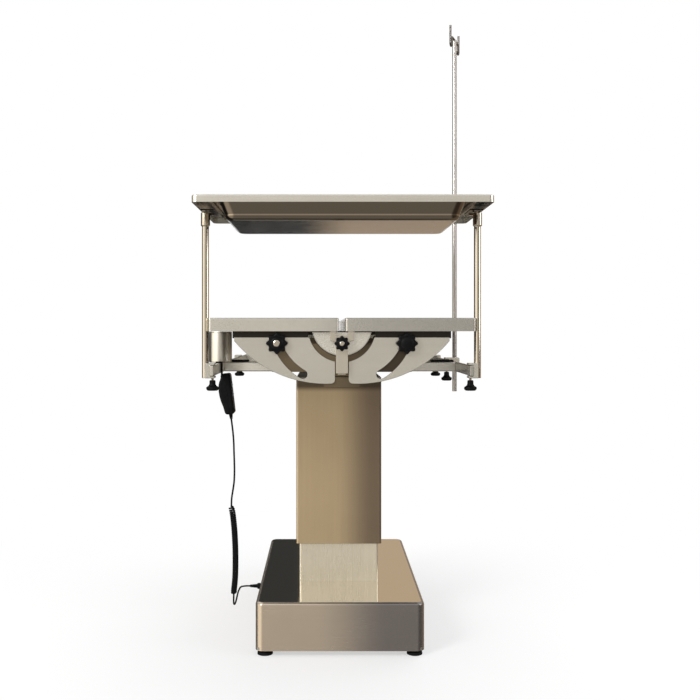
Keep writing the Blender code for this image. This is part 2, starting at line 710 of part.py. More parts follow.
def make_panels():
    """Two folded sheet panels, open below, with the inner skirts notched at the hinge ears."""
    for side, name in ((-1, "left"), (1, "right")):
        width = (TABLE_WIDTH - PANEL_GAP) / 2
        centre_x = side * (PANEL_GAP / 2 + width / 2)
        shape = bmesh.new()
        bmesh.ops.create_cube(shape, size=1)
        bottom = min(shape.faces, key=lambda f: f.calc_center_median().z)
        bmesh.ops.delete(shape, geom=[bottom], context="FACES_ONLY")
        bmesh.ops.scale(shape, vec=(width, TABLE_LENGTH, PANEL_DEPTH), verts=shape.verts)
        place = (centre_x, 0, TABLE_HEIGHT - PANEL_DEPTH / 2)
        bmesh.ops.translate(shape, vec=place, verts=shape.verts)
        panel = part(f"{name}_panel", mesh_of(shape), f"{name}_top", BRUSHED_STEEL)
        bevel(panel, PANEL_EDGE)
        sheet(panel, PANEL_SHEET)
        for end in (-1, 1):
            xs = sorted((side * (PANEL_GAP / 2 - PANEL_SHEET), side * (PANEL_GAP / 2 + PANEL_EDGE)))
            ys = sorted((end * (TABLE_END - PANEL_EDGE), end * (TABLE_END - NOTCH_LENGTH)))
            low = (xs[0], ys[0], PANEL_BOTTOM - PANEL_EDGE)
            high = (xs[1], ys[1], HINGE_Z + EAR / 2)
            cut(panel, box(low, high))


def quadrant_outline():
    """The right-hand plate seen from the front: a sector under the panel, clear of the gutter."""
    tip_z = TABLE_HEIGHT - QUADRANT_TIP_DROP
    foot_z = TABLE_HEIGHT - QUADRANT_FOOT_DROP
    top_z = TABLE_HEIGHT - STIFFENER_DROP + QUADRANT_SHEET / 2
    tip = Vector((QUADRANT_TIP, tip_z))
    foot = Vector((QUADRANT_NECK, foot_z))
    chord = foot - tip
    lift = math.sqrt(QUADRANT_SWEEP**2 - (chord.length / 2) ** 2)
    centre = (tip + foot) / 2 + Vector((chord.y, -chord.x)).normalized() * lift
    start = math.atan2(tip.y - centre.y, tip.x - centre.x)
    round_x = QUADRANT_NECK + QUADRANT_ROUND
    end = -math.acos((round_x - centre.x) / QUADRANT_SWEEP)
    round_z = centre.y + QUADRANT_SWEEP * math.sin(end) + QUADRANT_ROUND
    outline = [(QUADRANT_TIP, top_z)] + arc(centre, QUADRANT_SWEEP, start, end, 10)
    outline += arc((round_x, round_z), QUADRANT_ROUND, -math.pi / 2, -math.pi, 4)[1:]
    room = GUTTER_RADIUS + GUTTER_ROOM
    room_z = GUTTER_Z - GUTTER_ROOM_DROP
    low = -math.acos(QUADRANT_NECK / room)
    high = math.asin((top_z - room_z) / room)
    outline += arc((0, room_z), room, low, high, 8)
    return outline


def slot_outline():
    """A curved slot about the hinge, as long as the panel's tilt."""
    half = LOCK_BUSH + SLOT_PLAY
    centre = (HINGE_X, HINGE_Z)
    low = LOCK_ANGLE - TILT_UP
    points = arc(centre, LOCK_RADIUS + half, low, LOCK_ANGLE, 7)
    end = (HINGE_X + LOCK_RADIUS * math.cos(LOCK_ANGLE), HINGE_Z + LOCK_RADIUS * math.sin(LOCK_ANGLE))
    points += arc(end, half, LOCK_ANGLE, LOCK_ANGLE + math.pi, 6)[1:-1]
    points += arc(centre, LOCK_RADIUS - half, LOCK_ANGLE, low, 7)
    end = (HINGE_X + LOCK_RADIUS * math.cos(low), HINGE_Z + LOCK_RADIUS * math.sin(low))
    points += arc(end, half, low + math.pi, low + 2 * math.pi, 6)[1:-1]
    return points


def stiffener_outline():
    """The bar inside the panel that carries the quadrant and the hinge eye."""
    top = TABLE_HEIGHT - PANEL_SHEET - CLEARANCE
    low = TABLE_HEIGHT - STIFFENER_DROP
    inner = PANEL_GAP / 2 + LUG_INSET
    room = GUTTER_RADIUS + GUTTER_ROOM
    lug_low = PANEL_BOTTOM + PANEL_SHEET
    return [
        (inner, top), (inner, lug_low), (room, lug_low), (room, low),
        (STIFFENER_END, low), (STIFFENER_END, top),
    ]


def make_quadrants():
    for side, side_name in ((-1, "left"), (1, "right")):
        for end, end_name in ((-1, "front"), (1, "rear")):
            ys = sorted((end * QUADRANT_FRONT, end * QUADRANT_BACK))
            outlines = [mirrored(quadrant_outline(), side), mirrored(slot_outline(), side)]
            name = f"{side_name}_{end_name}_quadrant"
            obj = part(name, plate(outlines, "Y", *ys), f"{side_name}_top", BRUSHED_STEEL)
            eye = circle((side * HINGE_X, HINGE_Z), HINGE_ROD + CLEARANCE)
            bar_front = (QUADRANT_FRONT + QUADRANT_BACK) / 2
            ys = sorted((end * bar_front, end * (bar_front - STIFFENER)))
            fuse(obj, plate([mirrored(stiffener_outline(), side), eye], "Y", *ys))


def post_outline():
    """T-shaped hinge post with two ears that reach up inside the panels."""
    head_low = TABLE_HEIGHT - POST_HEAD_DROP - POST_HEAD
    head_top = TABLE_HEIGHT - POST_HEAD_DROP
    foot = SPINE_TOP + CLEARANCE + POST_FOOT.z
    half_ear = EAR / 2
    outer = HINGE_X + half_ear
    right = [(POST_BAR / 2, foot), (POST_BAR / 2, head_low), (outer, head_low + POST_HEAD_TAPER)]
    right += arc((HINGE_X, HINGE_Z), half_ear, 0, math.pi, 10)
    right += [(HINGE_X - half_ear, head_top)]
    return right + mirrored(reversed(right), -1)


def lock_outline():
    """Plate behind the quadrants that holds the two lock studs, seen from the front."""
    bar_top = TABLE_HEIGHT - LOCK_BAR_TOP_DROP
    bar_low = bar_top - LOCK_BAR
    outer = STUD_X + LOCK_ARM
    inner = STUD_X - LOCK_ARM
    top = STUD_Z + LOCK_STUD + LOCK_STUD / 2
    right = [(outer, bar_low), (outer, top), (inner, top), (inner, bar_top)]
    return right + mirrored(reversed(right), -1)


def make_end_brackets():
    lock_front = QUADRANT_BACK - CLEARANCE
    lock_back = lock_front - LOCK_PLATE
    foot_z = SPINE_TOP + CLEARANCE
    for end, name in ((-1, "front_end_bracket"), (1, "rear_end_bracket")):
        eyes = [circle((side * HINGE_X, HINGE_Z), HINGE_ROD + CLEARANCE) for side in (-1, 1)]
        ys = sorted((end * POST_FRONT, end * POST_BACK))
        bracket = part(name, plate([post_outline()] + eyes, "Y", *ys), "lift", BRUSHED_STEEL)
        half_web = min(POST_WEB / 2, QUADRANT_NECK - SLOT_PLAY)
        ys = sorted((end * (POST_FRONT - POST_BAR_THICK / 2), end * (lock_back + LOCK_PLATE / 2)))
        web_top = TABLE_HEIGHT - LOCK_BAR_TOP_DROP - LOCK_STUD
        web_low = foot_z + POST_FOOT.z / 2
        fuse(bracket, box((-half_web, ys[0], web_low), (half_web, ys[1], web_top)))
        ys = sorted((end * lock_front, end * lock_back))
        fuse(bracket, plate([lock_outline()], "Y", *ys))
        half_foot = POST_FOOT.x / 2
        ys = sorted((end * (lock_front - LOCK_PLATE / 4), end * (lock_front - POST_FOOT.y)))
        lock_low = TABLE_HEIGHT - LOCK_BAR_TOP_DROP - LOCK_BAR
        foot_top = max(foot_z + POST_FOOT.z, lock_low + LOCK_STUD)
        fuse(bracket, box((-half_foot, ys[0], foot_z), (half_foot, ys[1], foot_top)))
        for side in (-1, 1):
            start = (side * STUD_X, end * (lock_back + LOCK_PLATE / 3), STUD_Z)
            stop = (side * STUD_X, end * (STAR_BACK + STUD_BITE), STUD_Z)
            fuse(bracket, cylinder(start, stop, LOCK_STUD, 16))
            start = (side * STUD_X, end * (lock_front - LOCK_PLATE / 3), STUD_Z)
            stop = (side * STUD_X, end * (QUADRANT_FRONT - CLEARANCE), STUD_Z)
            fuse(bracket, cylinder(start, stop, LOCK_BUSH))
    start = (0, -(POST_BACK + POST_BAR_THICK / 3), GUTTER_STUD_Z)
    stop = (0, -(POST_FRONT + CLEARANCE + STUD_BITE), GUTTER_STUD_Z)
    fuse(PARTS.objects["front_end_bracket"], cylinder(start, stop, LOCK_STUD, 16))
    for side, name in ((-1, "left_hinge_rod"), (1, "right_hinge_rod")):
        front = Vector((side * HINGE_X, -POST_FRONT, HINGE_Z))
        rear = Vector((side * HINGE_X, POST_FRONT, HINGE_Z))
        part(name, cylinder(front, rear, HINGE_ROD), "lift", MIRROR_STEEL)


def half_round(radius, rim):
    """Half-round section about the gutter's axis, cut off level at the rim."""
    slope = math.asin((GUTTER_Z - rim) / radius)
    return arc((0, GUTTER_Z), radius, math.pi + slope, 2 * math.pi - slope, 20)


def make_gutter():
    outline = half_round(GUTTER_RADIUS, GUTTER_RIM)
    gutter = part("drain_gutter", plate([outline], "Y", -GUTTER_END, GUTTER_END), "lift", BRUSHED_STEEL)
    inside = arc((0, GUTTER_Z), GUTTER_RADIUS - GUTTER_SHEET, math.pi, 2 * math.pi, 20)
    reach = GUTTER_END - GUTTER_SHEET
    cut(gutter, plate([inside], "Y", -reach, reach))


def star_outline(radius):
    """Hand-knob outline: shallow scallops between round lobes."""
    depth = radius * 0.10
    count = STAR_LOBES * 4
    points = []
    for i in range(count):
        angle = 2 * math.pi * i / count
        reach = radius - depth + depth * math.cos(STAR_LOBES * angle)
        points.append((reach * math.cos(angle), reach * math.sin(angle)))
    return points


def make_star_knob(name, owner, radius, facing):
    """Lobed knob with a domed crown and a blind bore that takes the lock stud."""
    place = BODIES[owner][1]
    turn = Matrix.Rotation(math.radians(90) * -facing, 4, "X")
    move = Matrix.Translation(place) @ turn
    mesh = plate([star_outline(radius)], "Z", 0, STAR_DEPTH)
    mesh.transform(move)
    knob = part(name, mesh, owner, BLACK_PLASTIC)
    crown = radius * 0.62
    height = STAR_DEPTH + STAR_CROWN
    profile = (
        (0, height), (crown * 0.5, height - STAR_CROWN * 0.15), (crown, height - STAR_CROWN * 0.6),
        (crown, STAR_DEPTH / 2), (0, STAR_DEPTH / 2),
    )
    mesh = turned(profile, sides=16)
    mesh.transform(move)
    fuse(knob, mesh)
    mesh = cylinder((0, 0, -STAR_CAP), (0, 0, STUD_BITE + CLEARANCE), LOCK_STUD + CLEARANCE, 16)
    mesh.transform(move)
    cut(knob, mesh)


def make_star_knobs():
    for side in ("left", "right"):
        make_star_knob(f"{side}_front_star_knob", f"{side}_front_knob", STAR_RADIUS, -1)
        make_star_knob(f"{side}_rear_star_knob", f"{side}_rear_knob", STAR_RADIUS, 1)
    make_star_knob("gutter_star_knob", "gutter_knob", GUTTER_STAR_RADIUS, -1)


def clamp_outline(outer):
    """C-shaped jaw round a right-hand rail, open towards the table, seen from the front."""
    inner = RAIL_INNER - CLAMP_LIP
    throat = RAIL_OUTER + CLEARANCE
    high = RAIL_TOP + CLEARANCE
    low = RAIL_BOTTOM - CLEARANCE
    return [
        (inner, CLAMP_TOP), (inner, high), (throat, high), (throat, low),
        (inner, low), (inner, CLAMP_BOTTOM), (outer, CLAMP_BOTTOM), (outer, CLAMP_TOP),
    ]


def make_clamp(name, owner, side, y, outer):
    outline = mirrored(clamp_outline(outer), side)
    ends = (y - CLAMP_LENGTH / 2, y + CLAMP_LENGTH / 2)
    clamp = part(name, plate([outline], "Y", *ends), owner, BRUSHED_STEEL)
    hole = (side * RAIL_X, y, CLAMP_BOTTOM - CLAMP_JAW)
    cut(clamp, cylinder(hole, (side * RAIL_X, y, RAIL_BOTTOM), THUMB_SCREW + CLEARANCE, 16))
    return clamp


def make_thumb_knob(name, owner, side, y):
    """Screw that presses the rail from below, with a flared hand-knob."""
    tip = RAIL_BOTTOM - CLEARANCE
    neck_top = CLAMP_BOTTOM - THUMB_DROP
    head_top = neck_top - THUMB_NECK_LENGTH
    bottom = head_top - THUMB_HEAD_LENGTH
    rim = THUMB_HEAD_LENGTH / 4
    profile = (
        (0, tip), (THUMB_SCREW, tip), (THUMB_SCREW, neck_top), (THUMB_NECK, neck_top),
        (THUMB_NECK * 1.1, head_top), (THUMB_HEAD, head_top - rim), (THUMB_HEAD, bottom + rim),
        (THUMB_HEAD * 0.75, bottom), (0, bottom),
    )
    part(name, turned(profile, (side * RAIL_X, y, 0), sides=16), owner, BLACK_PLASTIC)


def make_tray():
    """Two posts clamped to the rails, with a frame on top that holds a drop-in basin."""
    profile_low = CLAMP_BOTTOM
    top = TRAY_BOTTOM - CLEARANCE
    collar = top - POST_COLLAR_LENGTH
    profile = (
        (0, top), (POST_COLLAR, top), (POST_COLLAR, collar), (POST_RADIUS, collar),
        (POST_RADIUS, profile_low), (0, profile_low),
    )
    for side, name in ((-1, "left"), (1, "right")):
        clamp = make_clamp(f"{name}_post_clamp", "tray_carriage", side, POST_Y, POST_X)
        place = Vector((side * POST_X, POST_Y, 0))
        low = place + Vector((0, 0, CLAMP_BOTTOM - CLAMP_JAW))
        high = place + Vector((0, 0, CLAMP_TOP + CLAMP_JAW))
        cut(clamp, cylinder(low, high, POST_RADIUS + CLEARANCE))
        part(f"{name}_post", turned(profile, place), "tray_carriage", MIRROR_STEEL)
        make_thumb_knob(f"{name}_post_thumb_knob", f"{name}_post_knob", side, POST_Y)
    centre_y = TRAY_FRONT + TRAY_DEPTH / 2
    outer = (TRAY_HALF, TRAY_DEPTH / 2)
    inner = (TRAY_HALF - TRAY_MEMBER, TRAY_DEPTH / 2 - TRAY_MEMBER)
    edges = [
        rounded_rectangle(*outer, TRAY_CORNER, (0, centre_y)),
        rounded_rectangle(*inner, TRAY_CORNER / 2, (0, centre_y)),
    ]
    part("tray_frame", plate(edges, "Z", TRAY_BOTTOM, TRAY_TOP), "tray_carriage", BRUSHED_STEEL)
    wall = (inner[0] - BASIN_GAP, inner[1] - BASIN_END_GAP)
    flange = (inner[0] + BASIN_FLANGE, inner[1] + BASIN_FLANGE)
    part("instrument_tray", basin(wall, flange, centre_y), "tray_carriage", MIRROR_STEEL)


def basin(wall, flange, centre_y):
    """Dished sheet: flange on the frame, drafted walls with round corners and a flat floor."""
    rim = TRAY_TOP + CLEARANCE + BASIN_SHEET
    floor = rim - BASIN_DEPTH
    low = (wall[0] - BASIN_DRAFT, wall[1] - BASIN_DRAFT)
    fillet = min(BASIN_DRAFT, BASIN_CORNER / 2)
    bed = (low[0] - fillet, low[1] - fillet)
    centre = (0, centre_y)
    rings = (
        (rounded_rectangle(*flange, TRAY_CORNER, centre), rim),
        (rounded_rectangle(*wall, BASIN_CORNER, centre), rim),
        (rounded_rectangle(*low, BASIN_CORNER, centre), floor + fillet),
        (rounded_rectangle(*bed, BASIN_CORNER - fillet, centre), floor),
    )
    shape = bmesh.new()
    loops = [[shape.verts.new((x, y, z)) for x, y in outline] for outline, z in rings]
    for upper, lower in zip(loops, loops[1:]):
        for i in range(len(upper)):
            j = (i + 1) % len(upper)
            shape.faces.new((upper[i], upper[j], lower[j], lower[i]))
    shape.faces.new(loops[-1])
    bmesh.ops.recalc_face_normals(shape, faces=shape.faces)
    floor_face = max(shape.faces, key=lambda f: len(f.verts))
    if floor_face.normal.z < 0:
        bmesh.ops.reverse_faces(shape, faces=shape.faces)
    bmesh.ops.solidify(shape, geom=shape.faces[:], thickness=BASIN_SHEET)
    bmesh.ops.recalc_face_normals(shape, faces=shape.faces)
    return mesh_of(shape)


def make_cleats():
    """Rope cleats that slide on the rails."""
    for side, name in ((-1, "left"), (1, "right")):
        face = RAIL_OUTER + CLEARANCE + CLEAT_WALL
        cleat = make_clamp(f"{name}_cleat_block", f"{name}_cleat", side, CLEAT_Y, face)
        height = (RAIL_TOP + RAIL_BOTTOM) / 2
        horn_x = face + CLEAT_STEM
        root = (side * (face - CLEAT_WALL / 2), CLEAT_Y, height)
        fuse(cleat, cylinder(root, (side * horn_x, CLEAT_Y, height), CLEAT_HORN_RADIUS, 12))
        near = (side * horn_x, CLEAT_Y - CLEAT_HORN / 2, height)
        far = (side * horn_x, CLEAT_Y + CLEAT_HORN / 2, height)
        fuse(cleat, cylinder(near, far, CLEAT_HORN_RADIUS * 1.15, 12))
        make_thumb_knob(f"{name}_cleat_thumb_knob", f"{name}_cleat_knob", side, CLEAT_Y)


def hook_path():
    """Bent wire across the pole: level in the middle, a drop and an upturned tip at each end."""
    top = IV_BOTTOM + IV_LENGTH
    right = [(0, 0), (HOOK_HALF - HOOK_BEND, 0)]
    right += arc((HOOK_HALF - HOOK_BEND, -HOOK_BEND), HOOK_BEND, math.pi / 2, 0, 4)[1:]
    valley = (HOOK_HALF + HOOK_BEND, -2.4 * HOOK_BEND)
    right += arc(valley, HOOK_BEND, math.pi, 2 * math.pi, 8)
    right += [(HOOK_HALF + 2 * HOOK_BEND, HOOK_RISE)]
    profile = [(-u, v) for u, v in reversed(right[1:])] + right
    across = Vector((math.cos(HOOK_TURN), math.sin(HOOK_TURN), 0))
    middle = Vector((IV_X, IV_Y, top))
    return [middle + across * u + Vector((0, 0, v)) for u, v in profile]


def make_iv_pole():
    outer = IV_X + IV_RADIUS + CLEARANCE + IV_OUTER_WALL
    clamp = make_clamp("iv_clamp", "iv_carriage", 1, IV_Y, outer)
    low = (IV_X, IV_Y, CLAMP_BOTTOM - CLAMP_JAW)
    high = (IV_X, IV_Y, CLAMP_TOP + CLAMP_JAW)
    cut(clamp, cylinder(low, high, IV_RADIUS + CLEARANCE))
    make_thumb_knob("iv_thumb_knob", "iv_knob", 1, IV_Y)
    foot = (IV_X, IV_Y, IV_BOTTOM)
    top = (IV_X, IV_Y, IV_BOTTOM + IV_LENGTH)
    pole = part("iv_pole", cylinder(foot, top, IV_RADIUS), "iv_mast", MIRROR_STEEL)
    fuse(pole, tube(hook_path(), HOOK_RADIUS, 1))


def handset_frame():
    """Place of the handset: origin at the middle of its top, below the rail and leaning away from it."""
    top = Vector((-RAIL_INNER + HANDSET.x / 2, HANDSET_Y, RAIL_BOTTOM - HANDSET_GAP))
    return Matrix.Translation(top) @ Matrix.Rotation(-HANDSET_TILT, 4, "Y")


def handset_half(down):
    """Half the thickness of the tapered case, a distance below its top."""
    return HANDSET.x / 2 * (1 - (1 - HANDSET_TAPER) * down / HANDSET.z)


def handset_face(down, proud):
    """A point on the button side, a distance below the top and proud of the face."""
    return handset_frame() @ Vector((handset_half(down) + proud, 0, -down))


def handset_axis():
    return (handset_frame().to_3x3() @ Vector((1, 0, 0))).normalized()


def make_handset():
    """Wired remote with a swelling back that hangs on the left rail by a hook moulded on its top."""
    tip = HANDSET.z
    profile = [(handset_half(0), 0), (handset_half(tip), tip), (-handset_half(tip), tip)]
    profile += [(-handset_half(down) - out, down) for down, out in reversed(HANDSET_SWELL)]
    profile += [(-handset_half(0), 0)]
    shape = bmesh.new()
    rings = []
    for side in (-1, 1):
        wide = side * HANDSET.y / HANDSET.x
        rings.append([shape.verts.new((x, wide * handset_half(down), -down)) for x, down in profile])
        shape.faces.new(rings[-1])
    for i in range(len(profile)):
        shape.faces.new((rings[0][i - 1], rings[0][i], rings[1][i], rings[1][i - 1]))
    bmesh.ops.recalc_face_normals(shape, faces=shape.faces)
    bmesh.ops.transform(shape, matrix=handset_frame(), verts=shape.verts)
    handset = part("handset", mesh_of(shape), "lift", BLACK_PLASTIC)
    bevel(handset, HANDSET_EDGE, 3)
    low = RAIL_TOP + CLEARANCE
    high = low + HANDSET_HOOK
    lip = -RAIL_OUTER - CLEARANCE
    root = RAIL_BOTTOM - HANDSET_HOOK_ROOT
    lip_low = low - HANDSET_HOOK_LIP
    back = -RAIL_INNER + CLEARANCE
    front = back + HANDSET_HOOK
    outline = [
        (lip - HANDSET_HOOK, high), (lip - HANDSET_HOOK, lip_low), (lip, lip_low), (lip, low),
        (back, low), (back, root), (front, root), (front, high),
    ]
    half = HANDSET_HOOK_WIDTH / 2
    fuse(handset, plate([outline], "Y", HANDSET_Y - half, HANDSET_Y + half))
    axis = handset_axis()
    for down, name in zip(BUTTON_PLACES, ("up", "down")):
        face = handset_face(down, 0)
        sink = axis * BUTTON_SEAT
        cut(handset, cylinder(face - sink, face + sink, BUTTON_RADIUS + CLEARANCE, 16))
        start = face - axis * (BUTTON_SEAT - BUTTON_TRAVEL - CLEARANCE)
        cap = cylinder(start, face + axis * BUTTON_PROUD, BUTTON_RADIUS, 16)
        part(f"handset_{name}_button", cap, f"{name}_button", GREY_PAINT)


def make_holder():
    """Round sheet cup on the left rail."""
    base = RAIL_TOP + CLEARANCE
    top = base + HOLDER_HEIGHT
    inside = HOLDER_RADIUS - HOLDER_SHEET
    profile = (
        (0, base + HOLDER_SHEET), (inside, base + HOLDER_SHEET), (inside, top),
        (HOLDER_RADIUS, top), (HOLDER_RADIUS, base), (0, base),
    )
    place = (-RAIL_X - HOLDER_OUT, HOLDER_Y, 0)
    part("handset_holder", turned(profile, place, sides=32), "lift", BRUSHED_STEEL)


def curl_points(centre_line, first, last):
    """A helix about a smooth line, drawn in to the line at both ends and straight at the tips."""
    radius = (CURL_DIAMETER - CORD) / 2
    start = centre_line[0]
    finish_point = centre_line[-1]
    inner_start = start + first * CORD
    inner_end = finish_point - last * CORD
    spine = smooth_route([inner_start] + centre_line[1:-1] + [inner_end], CORD / 4, first, last)
    length = route_length(spine)
    turns = round(length / CURL_PITCH)
    count = turns * CURL_POINTS
    line = even_steps(spine, length / count)
    points = [start, inner_start]
    normal = first.orthogonal().normalized()
    for i in range(1, len(line) - 1):
        tangent = (line[i + 1] - line[i - 1]).normalized()
        normal = (normal - tangent * normal.dot(tangent)).normalized()
        across = tangent.cross(normal)
        angle = 2 * math.pi * i / CURL_POINTS
        ramp = min(1.0, i / CURL_POINTS, (len(line) - 1 - i) / CURL_POINTS)
        reach = radius * math.sin(ramp * math.pi / 2)
        points.append(line[i] + (normal * math.cos(angle) + across * math.sin(angle)) * reach)
    points += [inner_end, finish_point]
    return points


def least_gap(points):
    """Smallest gap between stretches of the curl that lie more than half a turn apart."""
    apart = CURL_POINTS // 2 + 1
    gap = min(
        (points[i] - points[j]).length
        for i in range(len(points))
        for j in range(i + apart, min(i + 3 * CURL_POINTS, len(points)))
    )
    return gap - CORD


def make_cord():
    """Handset cord: straight lead, hanging curl and a tail into the gland on the base."""
    frame = handset_frame()
    down = (frame.to_3x3() @ Vector((0, 0, -1))).normalized()
    exit_point = frame @ Vector((0, 0, -HANDSET.z - CLEARANCE))
    gland_tip = Vector((-BASE_WIDTH / 2 - 2 * CLEARANCE - GLAND_LENGTH, GLAND_Y, GLAND_Z))
    lead_end = (Vector(CURL_ROUTE[0]) - Vector(LEAD_ROUTE[-1])).normalized()
    tail_start = (Vector(TAIL_ROUTE[1]) - Vector(CURL_ROUTE[-1])).normalized()
    curl_top = Vector(CURL_ROUTE[0])
    curl_foot = Vector(CURL_ROUTE[-1])
    lead = [exit_point, *LEAD_ROUTE, curl_top - lead_end * CLEARANCE]
    lead = smooth_route(lead, 2.5 * CORD, down, lead_end)
    part("cord_lead", tube(lead, CORD / 2, 2), "lift", BLACK_RUBBER)
    centre_line = [Vector(p) for p in CURL_ROUTE]
    curl = curl_points(centre_line, lead_end, tail_start)
    part("cord_curl", tube(curl, CORD / 2, 1), "base", BLACK_RUBBER)
    inwards = Vector((1, 0, 0))
    tail = [curl_foot + tail_start * CLEARANCE, *TAIL_ROUTE, gland_tip - inwards * 1.5 * CORD]
    tail = smooth_route(tail, 2.5 * CORD, tail_start, inwards) + [gland_tip]
    part("cord_tail", tube(tail, CORD / 2, 2), "base", BLACK_RUBBER)
    total = route_length(lead) + route_length(curl) + route_length(tail)
    print(f"cord: lead {route_length(lead):.3f} m, tail {route_length(tail):.3f} m, all {total:.3f} m")
    print(f"curl: least gap to itself {least_gap(curl) * 1000:.2f} mm")


def main():
    make_bodies()
    make_base()
    make_column()
    make_base_fittings()
    make_underframe()
    make_panels()
    make_quadrants()
    make_end_brackets()
    make_gutter()
    make_star_knobs()
    make_tray()
    make_cleats()
    make_iv_pole()
    make_handset()
    make_holder()
    make_cord()


main()
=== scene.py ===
"""Veterinary surgery table: the visible model, dressed on its working frame."""
import json
import math
from itertools import product

import bmesh
import bpy
from mathutils import Matrix, Vector


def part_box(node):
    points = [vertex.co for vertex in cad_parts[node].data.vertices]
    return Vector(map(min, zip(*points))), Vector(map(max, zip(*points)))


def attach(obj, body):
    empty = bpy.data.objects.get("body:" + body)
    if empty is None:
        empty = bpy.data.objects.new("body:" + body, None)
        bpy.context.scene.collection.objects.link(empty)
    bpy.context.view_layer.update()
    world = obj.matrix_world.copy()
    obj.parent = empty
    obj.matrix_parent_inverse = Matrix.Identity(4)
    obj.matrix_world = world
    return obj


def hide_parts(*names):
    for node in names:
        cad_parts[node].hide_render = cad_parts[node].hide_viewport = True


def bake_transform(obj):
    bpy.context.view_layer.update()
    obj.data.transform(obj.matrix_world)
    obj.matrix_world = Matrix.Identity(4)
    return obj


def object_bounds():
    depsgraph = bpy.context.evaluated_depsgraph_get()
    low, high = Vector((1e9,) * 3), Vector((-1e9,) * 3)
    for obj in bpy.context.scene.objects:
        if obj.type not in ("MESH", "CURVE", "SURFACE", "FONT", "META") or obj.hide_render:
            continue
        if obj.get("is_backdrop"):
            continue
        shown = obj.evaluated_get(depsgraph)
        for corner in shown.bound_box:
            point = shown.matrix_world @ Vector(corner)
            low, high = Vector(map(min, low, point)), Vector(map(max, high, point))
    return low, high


bl_info = {
    "name": "Veterinary Surgery Table",
    "version": (1, 0, 0),
    "blender": (4, 5, 0),
    "location": "3D View > Sidebar > Surgery Table",
    "description": "Dresses the working frame of a lifting V-top surgery table",
    "category": "Object",
}

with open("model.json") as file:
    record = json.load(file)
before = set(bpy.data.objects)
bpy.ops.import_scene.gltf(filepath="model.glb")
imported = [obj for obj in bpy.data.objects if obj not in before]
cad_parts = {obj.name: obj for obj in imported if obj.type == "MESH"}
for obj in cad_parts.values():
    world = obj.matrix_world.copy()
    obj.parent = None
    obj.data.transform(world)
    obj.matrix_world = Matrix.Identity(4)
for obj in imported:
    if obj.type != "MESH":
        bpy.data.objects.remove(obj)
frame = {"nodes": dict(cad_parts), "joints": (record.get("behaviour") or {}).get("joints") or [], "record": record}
CAD_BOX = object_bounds()
NODES = frame["nodes"]
SIDES = ((-1, "left"), (1, "right"))
ENDS = ((-1, "front"), (1, "rear"))
FIT = 0.0003
QUARTER = math.pi / 2

# The column's middle on the floor, from which every place here is given
SLEEVE_LOW, SLEEVE_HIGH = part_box("outer_sleeve")
COLUMN = Vector(((SLEEVE_LOW.x + SLEEVE_HIGH.x) / 2, (SLEEVE_LOW.y + SLEEVE_HIGH.y) / 2, 0))


class Room:
    """The space of a frame node, measured from the column's middle."""

    def __init__(self, node):
        low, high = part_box(node)
        self.low = low - COLUMN
        self.high = high - COLUMN
        self.centre = (self.low + self.high) / 2
        self.half = (self.high - self.low) / 2


def pivot(joint_name):
    """A joint's place, measured from the column's middle."""
    joint = next(j for j in frame["joints"] if j["name"] == joint_name)
    return Vector(joint["pos_m"]) - COLUMN


HINGE = pivot("right_tilt")
STUD = pivot("right_front_lock")
GUTTER_STUD = pivot("gutter_lock")
PANEL = Room("right_panel")
RAIL = Room("right_rail")


# Sizes and colours that a user would change


def tone(name, description, default):
    return bpy.props.FloatVectorProperty(
        name=name, description=description, subtype="COLOR", size=3, min=0, max=1, default=default,
    )


def measure(name, description, default):
    return bpy.props.FloatProperty(
        name=name, description=description, unit="LENGTH", default=default,
    )


class TableSteel(bpy.types.PropertyGroup):
    """Colours and polish of the stainless steel."""

    light: tone("Panel Steel", "Top panels, rails, quadrants and clamps", (0.62, 0.60, 0.54))
    gutter: tone("Gutter Steel", "Drain gutter and handset cup", (0.74, 0.72, 0.66))
    warm: tone("Column Steel", "Outer sleeve of the column", (0.54, 0.42, 0.265))
    base: tone("Base Steel", "Base cover and tray basin", (0.535, 0.455, 0.365))
    bright: tone("Polished Steel", "Posts and small hardware", (0.62, 0.57, 0.49))
    pole: tone("Pole Steel", "Infusion pole and its hooks", (0.42, 0.40, 0.385))
    # Near black: painted shade on the stiffeners and gussets that sit below the top and the tray
    dark: tone("Shaded Steel", "Stiffeners and gussets", (0.03, 0.026, 0.022))
    cross: tone("Crossbar Steel", "Crossbars and tray rim", (0.88, 0.85, 0.77))
    inner: tone("Inner Column", "Inner tube of the column", (0.74, 0.685, 0.565))
    mirror: tone("Mirror Steel", "Polished top of the base cover", (0.92, 0.88, 0.80))
    grain: bpy.props.FloatProperty(
        name="Brush Lines", description="Brush lines across one metre", min=100, max=4000, default=900,
    )


class TableCord(bpy.types.PropertyGroup):
    """The handset's curly cord."""

    diameter: measure("Cord", "Diameter of the cord", 0.0044)
    curl: measure("Curl", "Outer diameter of the curl", 0.0154)
    pitch: measure("Pitch", "Rise of one turn of the curl", 0.0055)


class TableStage(bpy.types.PropertyGroup):
    """Camera, floor and light."""

    eye: bpy.props.FloatVectorProperty(
        name="Camera", description="Camera place, from the column's middle on the floor",
        subtype="TRANSLATION", size=3, default=(-0.038, -2.773, 0.830),
    )
    lens: bpy.props.FloatProperty(
        name="Lens", description="Focal length in millimetres on a 36 mm sensor", default=48.8,
    )
    shift: bpy.props.FloatVectorProperty(
        name="Shift", description="Camera shift as a share of the picture", size=2,
        default=(0.0357, -0.030),
    )
    floor: tone("Floor", "Colour of the floor", (0.80, 0.80, 0.80))


# Shader expressions


